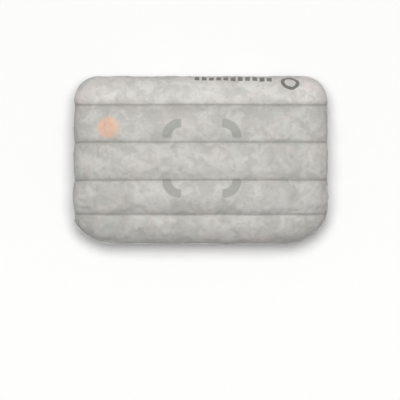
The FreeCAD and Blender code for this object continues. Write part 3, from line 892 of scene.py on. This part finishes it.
def cutValveHole():
    deselectAll()
    bpy.ops.mesh.primitive_cylinder_add(vertices=96, radius=valve["holeRadius"], depth=0.02)
    cutter = bpy.context.object
    cutter.data.transform(valveFrame)
    combine(basePanel, cutter, "DIFFERENCE")


cutValveHole()

# ---- the weld round the waist
weld = {
    "steps": 520,
    "width": 0.0038,
    "thickness": 0.0010,
    "wave": 0.0005,
    "waveSize": 0.016,
    "scallop": 0.0004,
    "scallopSize": 0.028,
    "draw": 0.0013,  # how far the lip is drawn in at the middle of both ends
    "drawHalf": 0.085,
}


def outlineLoop(inset, count):  # points evenly spaced round the outline, anticlockwise
    x = (halfLength - inset) * np.sin(np.linspace(-math.pi / 2, math.pi / 2, 800))
    front = np.array([(value, outlineEdges(value, inset)[0]) for value in x])
    back = np.array([(value, outlineEdges(value, inset)[1]) for value in x[::-1]])
    loop = np.concatenate([front, back, front[:1]])
    places = evenSteps(loop, count)
    return np.column_stack(places)[:-1]


def buildWeld():
    profile = [(0, 0.5), (0.5, 0.5), (0.93, 0.5), (0.985, 0.32), (1, 0), (0.985, -0.32),
               (0.93, -0.5), (0.5, -0.5), (0, -0.5), (-0.03, 0)]
    deselectAll()
    bpy.ops.mesh.primitive_torus_add(major_segments=weld["steps"], minor_segments=len(profile))
    piece = bpy.context.object
    piece.name = "edgeWeld"
    outer = outlineLoop(0, weld["steps"])
    ahead = np.roll(outer, -1, axis=0) - np.roll(outer, 1, axis=0)
    ahead = ahead / np.linalg.norm(ahead, axis=1, keepdims=True)
    side = np.column_stack([ahead[:, 1], -ahead[:, 0]])
    height = (weldTop + weldBottom) / 2
    around = np.column_stack([outer, np.zeros(len(outer))])
    lift = ripple(around, weld["waveSize"], 5) * weld["wave"]
    push = -np.abs(ripple(around, weld["scallopSize"], 6)) * weld["scallop"]
    middle = np.clip(1 - (outer[:, 1] / weld["drawHalf"]) ** 2, 0, 1)
    push -= weld["draw"] * middle * (np.abs(outer[:, 0]) > 0.9 * halfLength)
    points = np.empty((weld["steps"], len(profile), 3))
    for number, (share, level) in enumerate(profile):
        reach = (share - 1) * weld["width"] + push * share
        points[:, number, :2] = outer + side * reach[:, None]
        points[:, number, 2] = height + level * weld["thickness"] + lift * share ** 2
    setPoints(piece, points.reshape(-1, 3))
    choose(piece)
    editAll()
    leaveEdit(outwards=True)
    bpy.ops.object.shade_smooth_by_angle(angle=smoothBelow)
    return piece


edgeWeld = buildWeld()
print("weld shaped")

# ---- lock patches, laid over the underside
patch = {
    "width": 0.0153,
    "cornerRadius": 0.0302,
    "thickness": 0.0008,
    "round": 0.003,
    "edge": 0.00025,
    "blur": 0.0008,
    "seenThrough": 1.012,  # the face hangs nearer the eye than the patches do
    "columns": 44,
    "rows": 14,
}
patchLow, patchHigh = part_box("lock_patch_front_left")[0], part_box("lock_patch_back_right")[1]
patchMiddle = [(low + high) / 2 for low, high in zip(patchLow[:2], patchHigh[:2])]
patchSpan = (patchHigh[0] - patchLow[0]) / 2
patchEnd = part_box("lock_patch_back_right")[0][0] - patchMiddle[0]
patchCorner = patchSpan - patch["cornerRadius"]


def patchRow(radius, tip):  # one curve along a patch: straight, round the corner, straight
    straight = patchCorner - patchEnd - tip
    bend = radius * math.pi / 2
    run = np.linspace(0, 2 * straight + bend, patch["columns"] + 1)
    turn = np.clip((run - straight) / radius, 0, math.pi / 2)
    before = np.clip(straight - run, 0, None)
    after = np.clip(run - straight - bend, 0, None)
    x = patchCorner + radius * np.cos(turn) - after
    y = patchCorner + radius * np.sin(turn) - before
    return x, y


def buildPatch(name, signX, signY):
    across = np.linspace(-1, 1, patch["rows"] + 1) * patch["width"] / 2
    past = np.clip(np.abs(across) - (patch["width"] / 2 - patch["round"]), 0, patch["round"])
    tips = patch["round"] - np.sqrt(patch["round"] ** 2 - past ** 2)
    middle = patch["cornerRadius"] - patch["width"] / 2
    rows = [patchRow(middle + off, tip) for off, tip in zip(across, tips)]
    x = patchMiddle[0] + signX * np.array([row[0] for row in rows])
    y = patchMiddle[1] + signY * np.array([row[1] for row in rows])
    z = np.empty_like(x)
    for place, _ in np.ndenumerate(x):
        hit = baseTree.ray_cast(Vector((x[place], y[place], -0.01)), Vector((0, 0, 1)))
        z[place] = hit[0].z - patch["thickness"]
    points = np.stack([x, y, z], axis=2)
    if signX * signY < 0:
        points = points[::-1]
    piece = gridSheet(name, points)[0]
    shell(piece, patch["thickness"])
    softenEdges(piece, patch["edge"], 30)
    return piece


patches = []
for sideY, signY in (("Back", 1), ("Front", -1)):
    for sideX, signX in (("Left", -1), ("Right", 1)):
        piece = buildPatch("lockPatch" + sideY + sideX, signX, signY)
        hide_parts(f"lock_patch_{sideY.lower()}_{sideX.lower()}")
        patches.append(piece)
print("lock patches shaped")

# ---- the valve's moulded parts, modelled about their own axis and then set in place
moulding = {"segments": 72, "edge": 0.00018}
valveBase = {
    "throat": 0.0115,
    "mouth": 0.0123,
    "neck": 0.014,
    "neckDepth": 0.0065,
    "edge": 0.0004,
    "leadIn": 0.002,
    "ring": (0.0163, 0.0161, 0.0155, 0.0153),  # a shallow groove that runs round the rim
    "ringDepth": 0.0003,
}
plug = {
    "barrel": 0.0113,
    "foot": 0.0102,
    "depth": 0.006,
    "head": 0.0135,
    "headLow": 0.0015,
    "headHigh": 0.0027,
    "grooveRadius": 0.0103,  # where the sealing ring sits
    "grooveLow": -0.0016,
    "grooveHigh": -0.0004,
    "ring": (0.0121, 0.0119, 0.0112, 0.0110),  # a shallow groove round the mouth
    "ringDepth": 0.0002,
    "mouth": 0.008,
    "floorHigh": -0.00252,  # a hair clear of the flap's stem head and disc
    "floorLow": -0.00348,
    "stemHole": 0.00115,
    "airHoles": 6,
    "airHole": 0.0016,
    "airCircle": 0.005,
    "scallop": 0.982,
    "tab": {"root": 0.0119, "reach": 0.0195, "width": 0.009},
}
cap = {
    "head": 0.0105,
    "low": 0.0028,
    "high": 0.0042,
    "skirt": 0.0078,
    "skirtLow": 0.0008,
    "bore": 0.0064,
    "edge": 0.0003,
    "dish": 0.0070,
    "dishDepth": 0.0004,
    "ridge": (0.0040, 0.0038, 0.0032, 0.0030),  # a raised ring in the dish
    "ridgeHeight": 0.0003,
    "tab": {"root": 0.0089, "reach": 0.016, "width": 0.008},
}
grip = {"width": 0.0024, "height": 0.0008, "corner": 0.0022}
strap = {
    "width": 0.007,
    "thickness": 0.0006,
    "cuts": 9,
    "plugEnds": (0.0130, 0.0166),
    "capEnds": (0.0100, 0.0132),
}


def selectParts(piece, kind, test):  # in edit mode, the faces or edges that pass the test
    bpy.ops.object.mode_set(mode="EDIT")
    bpy.ops.mesh.select_mode(type=kind)
    bpy.ops.mesh.select_all(action="DESELECT")
    bpy.ops.object.mode_set(mode="OBJECT")
    mesh = piece.data
    if kind == "FACE":
        for polygon in mesh.polygons:
            polygon.select = test(polygon.center, polygon.normal)
    else:
        for edge in mesh.edges:
            edge.select = test(*[mesh.vertices[number].co for number in edge.vertices])
    bpy.ops.object.mode_set(mode="EDIT")


def turnPiece(name, rings, filled=False):  # rings of (radius, height), each drawn from the last
    deselectAll()
    radius, height = rings[0]
    bpy.ops.mesh.primitive_circle_add(vertices=moulding["segments"], radius=radius)
    piece = bpy.context.object
    piece.name = name
    piece.data.name = name
    editAll()
    bpy.ops.transform.translate(value=(0, 0, height))
    for nextRadius, nextHeight in rings[1:]:
        rise = (0, 0, nextHeight - height)
        bpy.ops.mesh.extrude_edges_move(TRANSFORM_OT_translate={"value": rise})
        grow = nextRadius / radius
        bpy.ops.transform.resize(value=(grow, grow, 1), center_override=(0, 0, nextHeight))
        radius, height = nextRadius, nextHeight
    bpy.ops.mesh.select_all(action="SELECT")
    bpy.ops.mesh.remove_doubles(threshold=0.00001)
    if filled:
        bpy.ops.mesh.fill_holes(sides=0)
    leaveEdit(outwards=True)
    return piece


def addBar(low, high):  # a block between two corners
    deselectAll()
    bpy.ops.mesh.primitive_cube_add(size=1)
    bar = bpy.context.object
    editAll()
    bpy.ops.transform.resize(value=[b - a for a, b in zip(low, high)])
    bpy.ops.transform.translate(value=[(a + b) / 2 for a, b in zip(low, high)])
    leaveEdit()
    return bar


def quarterTurn(piece, quarter):
    leaveEdit()
    piece.rotation_euler.z = quarter * math.pi / 2
    bpy.ops.object.transform_apply(rotation=True)


def addTab(piece, facts, low, high, quarter):  # a finger tab with a raised bar at its end
    half = facts["width"] / 2
    reach = facts["reach"]
    tab = addBar((facts["root"], -half, low), (reach, half, high))
    editAll()
    bpy.ops.mesh.bisect(plane_co=(reach - grip["width"], 0, 0), plane_no=(1, 0, 0))
    selectParts(tab, "FACE", lambda place, normal: normal.z > 0.9
                and place.x > reach - grip["width"])
    bpy.ops.mesh.extrude_region_move(
        TRANSFORM_OT_translate={"value": (0, 0, grip["height"])})
    selectParts(tab, "EDGE", lambda a, b: abs(a.z - b.z) > 0.0001 and a.x > reach - 0.0001
                and b.x > reach - 0.0001)
    bpy.ops.mesh.bevel(offset=grip["corner"], segments=6, affect="EDGES")
    quarterTurn(tab, quarter)
    combine(piece, tab, "UNION")


def setInPlace(piece, name):  # rounds the moulded edges, then moves the piece to the valve
    softenEdges(piece, moulding["edge"], 40)
    piece.matrix_world = valveFrame
    bpy.ops.object.transform_apply(location=True, rotation=True)
    bpy.ops.object.shade_smooth_by_angle(angle=math.radians(35))
    piece.name = name
    return piece


def buildValveBase():
    rim, radius, edge = valve["rim"], valve["rimRadius"], valveBase["edge"]
    ring, sunk = valveBase["ring"], rim - valveBase["ringDepth"]
    piece = turnPiece("valveRim", [
        (valveBase["throat"], -valveBase["neckDepth"]),
        (valveBase["neck"], -valveBase["neckDepth"]),
        (valveBase["neck"], 0),
        (radius, 0),
        (radius, rim - edge),
        (radius - edge, rim),
        *zip(ring, (rim, sunk, sunk, rim)),
        (valveBase["mouth"], rim),
        (valveBase["throat"], rim - valveBase["leadIn"]),
        (valveBase["throat"], -valveBase["neckDepth"]),
    ])
    return setInPlace(piece, "valveRim")


def buildPlug():
    sunk = plug["headHigh"] - plug["ringDepth"]
    piece = turnPiece("valvePlug", [
        (plug["stemHole"], plug["floorLow"]),
        (plug["mouth"], plug["floorLow"]),
        (plug["mouth"], -plug["depth"]),
        (plug["foot"], -plug["depth"]),
        (plug["barrel"], plug["grooveLow"] - 0.0001),
        (plug["barrel"], plug["grooveLow"]),
        (plug["grooveRadius"], plug["grooveLow"]),
        (plug["grooveRadius"], plug["grooveHigh"]),
        (plug["barrel"], plug["grooveHigh"]),
        (plug["barrel"], plug["headLow"]),
        (plug["head"], plug["headLow"]),
        (plug["head"], plug["headHigh"]),
        *zip(plug["ring"], (plug["headHigh"], sunk, sunk, plug["headHigh"])),
        (plug["mouth"], plug["headHigh"]),
        (plug["mouth"], plug["floorHigh"]),
        (plug["stemHole"], plug["floorHigh"]),
        (plug["stemHole"], plug["floorLow"]),
    ])
    points = getPoints(piece)
    turn = np.rint(np.arctan2(points[:, 1], points[:, 0]) / math.tau * moulding["segments"])
    edge = (np.hypot(points[:, 0], points[:, 1]) > plug["head"] - 0.0001) & (turn % 2 == 0)
    points[edge, :2] *= plug["scallop"]
    setPoints(piece, points)
    addTab(piece, plug["tab"], plug["headLow"], plug["headHigh"], 2)
    for number in range(plug["airHoles"]):
        turn = math.tau * number / plug["airHoles"]
        place = (plug["airCircle"] * math.cos(turn), plug["airCircle"] * math.sin(turn), -0.003)
        deselectAll()
        bpy.ops.mesh.primitive_cylinder_add(vertices=24, radius=plug["airHole"], depth=0.003,
                                            location=place)
        combine(piece, bpy.context.object, "DIFFERENCE")
    return setInPlace(piece, "valvePlug")


def buildCap():
    low, high, edge, dish = cap["low"], cap["high"], cap["edge"], cap["dish"]
    sunk = high - cap["dishDepth"]
    raised = sunk + cap["ridgeHeight"]
    piece = turnPiece("valveCap", [
        (cap["bore"], low),
        (cap["bore"], cap["skirtLow"]),
        (cap["skirt"] - 0.0002, cap["skirtLow"]),
        (cap["skirt"], cap["skirtLow"] + 0.001),
        (cap["skirt"], low),
        (cap["head"], low),
        (cap["head"], high - edge),
        (cap["head"] - edge, high),
        (dish + cap["dishDepth"], high),
        (dish, sunk),
        *zip(cap["ridge"], (sunk, raised, raised, sunk)),
    ], filled=True)
    addTab(piece, cap["tab"], low, high, 1)
    return setInPlace(piece, "valveCap")


def buildStrap(name, ends, low, quarter):  # a strip along one of the valve's own axes
    half = strap["width"] / 2
    start, end = ends
    piece = addBar((start, -half, low), (end, half, low + strap["thickness"]))
    selectParts(piece, "EDGE", lambda a, b: abs(a.x - b.x) > 0.0001)
    bpy.ops.mesh.subdivide(number_cuts=strap["cuts"])
    quarterTurn(piece, quarter)
    return setInPlace(piece, name)


valveRim = buildValveBase()
valvePlug = buildPlug()
valveCap = buildCap()
plugStrap = buildStrap("plugStrap", strap["plugEnds"], valve["rim"], 0)
capStrap = buildStrap("capStrap", strap["capEnds"], plug["headHigh"], 3)
print("valve shaped")

# ---- materials
cloth = {
    "dark": (0.487, 0.477, 0.448),
    "light": (0.598, 0.587, 0.556),
    "warm": (0.64, 0.545, 0.53),
    "cool": (0.50, 0.545, 0.51),
    "wisp": (0.33, 0.325, 0.305),
    # painted light over the head end of the face
    "headEndLight": (1.16, 1.155, 1.16),
    "headCornerLight": (1.09, 1.085, 1.09),  # painted light: lighter still at the head end's outer corners
    # painted shadow of the lock patches, seen through the cloth
    "patch": (0.37, 0.372, 0.345),
    # painted glow of the orange valve and its darker ring, seen through the cloth
    "glow": (0.86, 0.50, 0.33),
    "glowRing": (0.66, 0.39, 0.29),
    "ink": (0.09, 0.09, 0.083),
    "Warm": 0.30,  # from here on, how much of each shows
    "Cool": 0.32,
    "wisps": 0.34,
    "patches": 0.92,
    "print": 0.80,
    "seamShade": 0.16,
    "line": 0.5,
    # painted shade towards the weld: how strong it is and how far up it reaches
    "waist": 0.30,
    "waistRise": 0.034,
    "stitch": 0.0022,  # between the beads of a seam
}
printed = {  # plain bars and a ring along the back channel, measured along the cloth
    "rise": (0.0135, 0.0285),
    "pitch": 0.0122,
    "bar": (0.14, 0.80),
    "row": (-0.0122, 0.122),
    "ringMiddle": (0.1505, 0.0275),
    "ring": (0.0095, 0.0158),
    "edge": 0.0004,
    "clearOfSeam": 0.004,
}
glow = {  # painted glow of the orange valve, seen through the layers
    "shift": (0.0025, -0.0034),
    "fade": (0.0128, 0.0220),
    "strength": 0.62,
    "ring": (0.0062, 0.0088),
    "ringEdge": 0.0014,
    "stir": 0.004,
}


def distanceFrom(tree, values, middle):
    offs = [mathNode(tree, "SUBTRACT", value, centre) for value, centre in zip(values, middle)]
    squares = mathNode(tree, "ADD", *[times(tree, off, off) for off in offs])
    return mathNode(tree, "SQRT", squares)


def between(tree, value, low, high, soft):
    above = mapRange(tree, value, low - soft, low + soft)
    below = mapRange(tree, value, high - soft, high + soft, 1.0, 0.0)
    return times(tree, above, below)


def patchShadow(tree, split):  # painted shadow of the lock patches, seen through the cloth
    half = patch["width"] / 2
    legs = []
    for axis, middle in (("X", patchMiddle[0]), ("Y", patchMiddle[1])):
        off = mathNode(tree, "SUBTRACT", split.outputs[axis], middle)
        off = times(tree, mathNode(tree, "ABSOLUTE", off), patch["seenThrough"])
        legs.append(off)
    past = [mathNode(tree, "MAXIMUM", mathNode(tree, "SUBTRACT", leg, patchCorner), 0.0)
            for leg in legs]
    squares = [mathNode(tree, "POWER", value, 2.0) for value in past]
    radius = mathNode(tree, "SQRT", mathNode(tree, "ADD", *squares))
    aside = mathNode(tree, "SUBTRACT", radius, patch["cornerRadius"] - half)
    aside = mathNode(tree, "SUBTRACT", mathNode(tree, "ABSOLUTE", aside), half - patch["round"])
    beyond = mathNode(tree, "SUBTRACT", patchEnd + patch["round"],
                      mathNode(tree, "MINIMUM", *legs))
    rest = [mathNode(tree, "POWER", mathNode(tree, "MAXIMUM", value, 0.0), 2.0)
            for value in (aside, beyond)]
    edge = mathNode(tree, "SQRT", mathNode(tree, "ADD", *rest))
    return mapRange(tree, edge, patch["round"] - patch["blur"], patch["round"] + patch["blur"],
                    1.0, 0.0)


def plainPrint(tree, split):  # a row of plain bars and a ring along the back channel
    x, height = split.outputs["X"], attributeValue(tree, "fromBack")
    band = between(tree, height, *printed["rise"], printed["edge"])
    turns = times(tree, x, 1 / printed["pitch"])
    bars = between(tree, mathNode(tree, "FRACT", turns), *printed["bar"], 0.03)
    row = times(tree, times(tree, band, bars), between(tree, x, *printed["row"], 0.0003))
    radius = distanceFrom(tree, (x, height), printed["ringMiddle"])
    ring = between(tree, radius, *printed["ring"], printed["edge"])
    back = mapRange(tree, split.outputs["Y"], seams[-1], seams[-1] + printed["clearOfSeam"])
    return times(tree, mathNode(tree, "MAXIMUM", row, ring), back)


def attributeValue(tree, name):
    node = tree.nodes.new("ShaderNodeAttribute")
    node.attribute_name = name
    return node.outputs["Fac"]


def shaded(colour, shade):
    return tuple(value * shade for value in colour)


def valveGlow(tree, split, place, colour):
    middle = [centre + shift for centre, shift in zip(valveCentre, glow["shift"])]
    radius = distanceFrom(tree, (split.outputs["X"], split.outputs["Y"]), middle)
    stir = noiseNode(tree, place, 120.0, 2.0)
    shake = mathNode(tree, "MULTIPLY_ADD", stir, glow["stir"], -glow["stir"] / 2)
    stirred = mathNode(tree, "ADD", radius, shake)
    light = mapRange(tree, stirred, *glow["fade"], glow["strength"], 0.0)
    colour = mixColour(tree, light, colour, cloth["glow"])
    ring = between(tree, stirred, *glow["ring"], glow["ringEdge"])
    broken = times(tree, ring, mapRange(tree, stir, 0.36, 0.58, 0.12, 0.5))
    return mixColour(tree, broken, colour, cloth["glowRing"])


def clothMaterial(name, shade, seeThrough):
    material, tree, shader, coordinates = newMaterial(name, Specular_IOR_Level=0.28)
    place = coordinates.outputs["Object"]
    split = tree.nodes.new("ShaderNodeSeparateXYZ")
    link(tree, place, split.inputs[0])
    mottle = useGroup(tree, "mottle", place, Scale=1.0)
    colour = mixColour(tree, mottle.outputs["Patches"], shaded(cloth["dark"], shade),
                       shaded(cloth["light"], shade))
    for label in ("Warm", "Cool"):
        mask = times(tree, mottle.outputs[label], cloth[label])
        colour = mixColour(tree, mask, colour, shaded(cloth[label.lower()], shade))
    if seeThrough:
        # painted light: the cloth is lightened over the head end, and more at its outer corners,
        # as if light shone through it
        headEndLight = mapRange(tree, split.outputs["Y"], seams[-1] - 0.003, seams[-1] + 0.012)
        colour = mixColour(tree, headEndLight, colour, cloth["headEndLight"], "MULTIPLY")
        outer = mapRange(tree, mathNode(tree, "ABSOLUTE", split.outputs["X"]), 0.11, 0.19)
        colour = mixColour(tree, times(tree, headEndLight, outer), colour, cloth["headCornerLight"],
                           "MULTIPLY")
    wisps = times(tree, mottle.outputs["Wisps"], cloth["wisps"])
    colour = mixColour(tree, wisps, colour, cloth["wisp"])
    if seeThrough:
        shadow = times(tree, patchShadow(tree, split), cloth["patches"])
        colour = mixColour(tree, shadow, colour, cloth["patch"])
        colour = valveGlow(tree, split, place, colour)
        marks = times(tree, plainPrint(tree, split), cloth["print"])
        colour = mixColour(tree, marks, colour, cloth["ink"])
    # painted shade along each seam
    seamShade = times(tree, attributeValue(tree, "seamShade"), cloth["seamShade"])
    colour = mixColour(tree, seamShade, colour, shaded(cloth["dark"], 0.5 * shade))
    line = mapRange(tree, attributeValue(tree, "seam"), 0.15, 0.75)
    colour = mixColour(tree, times(tree, line, cloth["line"]), colour,
                       shaded(cloth["dark"], 0.45 * shade))
    # painted shade: the cloth darkens towards the weld's height round the waist
    rise = mathNode(tree, "ABSOLUTE", mathNode(tree, "SUBTRACT", split.outputs["Z"], weldTop))
    waist = mapRange(tree, rise, 0.0, cloth["waistRise"], cloth["waist"], 0.0)
    colour = mixColour(tree, waist, colour, shaded(cloth["dark"], 0.6 * shade))
    link(tree, colour, shader.inputs["Base Color"])
    weave = useGroup(tree, "weave", coordinates.outputs["UV"], Threads=1100.0)
    link(tree, mapRange(tree, weave.outputs["Shade"], 0, 1, 0.54, 0.68),
         shader.inputs["Roughness"])
    crinkle = noiseNode(tree, place, 330.0, 3.0, 0.6, 0.6)
    beads = mathNode(tree, "SINE", times(tree, split.outputs["X"], math.tau / cloth["stitch"]))
    pressed = times(tree, beads, line)
    bumpFrom(tree, shader, [(mottle.outputs["Patches"], 0.0010, 0.16),
                            (crinkle, 0.0003, 0.16), (weave.outputs["Height"], 0.00005, 0.4),
                            (pressed, 0.0002, 0.5)])
    return material


def weldMaterial():
    material, tree, shader, coordinates = newMaterial("weldedEdge", Specular_IOR_Level=0.4)
    place = coordinates.outputs["Object"]
    grain = useGroup(tree, "grain", place, Grain=900.0)
    colour = mixColour(tree, grain.outputs["Cloud"], (0.60, 0.60, 0.575), (0.70, 0.70, 0.68))
    link(tree, colour, shader.inputs["Base Color"])
    link(tree, mapRange(tree, grain.outputs["Cloud"], 0, 1, 0.38, 0.52),
         shader.inputs["Roughness"])
    press = useGroup(tree, "weave", place, Threads=1300.0)
    bumpFrom(tree, shader, [(press.outputs["Height"], 0.00012, 0.6),
                            (grain.outputs["Height"], 0.0001, 0.3)])
    return material


def loopMaterial():
    material, tree, shader, coordinates = newMaterial(
        "loopPile", Sheen_Weight=0.35, Sheen_Roughness=0.6, Specular_IOR_Level=0.2,
        Roughness=0.9)
    place = coordinates.outputs["Object"]
    loops = tree.nodes.new("ShaderNodeTexVoronoi")
    loops.inputs["Scale"].default_value = 1500
    link(tree, place, loops.inputs["Vector"])
    cloud = noiseNode(tree, place, 260.0, 3.0)
    shade = mathNode(tree, "ADD", times(tree, loops.outputs["Distance"], 0.6),
                     times(tree, cloud, 0.4))
    link(tree, mixColour(tree, mapRange(tree, shade, 0.2, 0.7), (0.10, 0.105, 0.10),
                         (0.21, 0.215, 0.205)), shader.inputs["Base Color"])
    bumpFrom(tree, shader, [(loops.outputs["Distance"], 0.0004, 0.8), (cloud, 0.0005, 0.5)])
    return material


def plasticMaterial(name, dark, light, rough, soft=0.0):
    material, tree, shader, coordinates = newMaterial(
        name, Specular_IOR_Level=0.45, Subsurface_Weight=soft, Subsurface_Scale=0.003)
    grain = useGroup(tree, "grain", coordinates.outputs["Object"])
    link(tree, mixColour(tree, grain.outputs["Cloud"], dark, light),
         shader.inputs["Base Color"])
    link(tree, mapRange(tree, grain.outputs["Cloud"], 0, 1, rough - 0.06, rough + 0.08),
         shader.inputs["Roughness"])
    bumpFrom(tree, shader, [(grain.outputs["Height"], 0.00008, 0.35)])
    return material


def downMaterial():
    material, tree, shader, coordinates = newMaterial(
        "whiteDown", Sheen_Weight=0.5, Sheen_Roughness=0.6, Roughness=0.95,
        Specular_IOR_Level=0.1)
    place = coordinates.outputs["Object"]
    mottle = useGroup(tree, "mottle", place, Scale=2.4)
    link(tree, mixColour(tree, mottle.outputs["Patches"], (0.62, 0.60, 0.56),
                         (0.86, 0.85, 0.82)), shader.inputs["Base Color"])
    barbs = noiseNode(tree, place, 700.0, 4.0, 0.7, 2.0)
    bumpFrom(tree, shader, [(barbs, 0.0008, 0.7)])
    return material


materials = {
    "face": clothMaterial("quiltedCloth", 1.0, True),
    "base": clothMaterial("baseCloth", 0.86, False),
    "weld": weldMaterial(),
    "loops": loopMaterial(),
    "valve": plasticMaterial("orangePlastic", (0.76, 0.20, 0.045), (0.86, 0.27, 0.07), 0.42),
    "film": plasticMaterial("weldFilm", (0.55, 0.56, 0.55), (0.66, 0.66, 0.65), 0.35),
    "seal": plasticMaterial("sealRubber", (0.02, 0.02, 0.02), (0.04, 0.04, 0.04), 0.5),
    "flap": plasticMaterial("silicone", (0.62, 0.62, 0.58), (0.72, 0.72, 0.68), 0.3, 0.2),
    "chamber": plasticMaterial("chamberCloth", (0.48, 0.49, 0.48), (0.60, 0.61, 0.60), 0.5),
    "down": downMaterial(),
}


def finishPiece(piece, material, body="pillow"):
    piece.data.materials.clear()
    piece.data.materials.append(materials[material])
    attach(piece, body)


def paintNode(name, material):
    node = frame["nodes"][name]
    if not node.material_slots:
        node.data.materials.append(None)
    for slot in node.material_slots:
        slot.material = materials[material]


finishPiece(facePanel, "face")
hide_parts("face_panel")
finishPiece(basePanel, "base")
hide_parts("base_panel")
finishPiece(edgeWeld, "weld")
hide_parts("edge_weld")
for piece in downs:
    finishPiece(piece, "down")
for piece in patches:
    finishPiece(piece, "loops")
for name in ("bladder_top", *webs):
    paintNode(name, "chamber")
for name, material in (("valve_weld_ring", "film"), ("plug_seal", "seal"), ("check_flap", "flap")):
    paintNode(name, material)
for piece, node, body in ((valveRim, "valve_base", "pillow"), (valvePlug, "valve_plug", "plug"),
                          (valveCap, "valve_cap", "cap")):
    finishPiece(piece, "valve", body)
    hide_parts(node)
for piece, node in ((plugStrap, "plug_strap"), (capStrap, "cap_strap")):
    piece.data.materials.clear()
    piece.data.materials.append(materials["valve"])
    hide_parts(node)
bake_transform(plugStrap)
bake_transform(capStrap)
print("materials given")
nodes = [frame["nodes"][name] for name in ("plug_seal", "check_flap", "valve_weld_ring")]
lightUnderside([basePanel, edgeWeld, *patches, valveRim, valvePlug, valveCap, plugStrap,
                capStrap, *nodes])
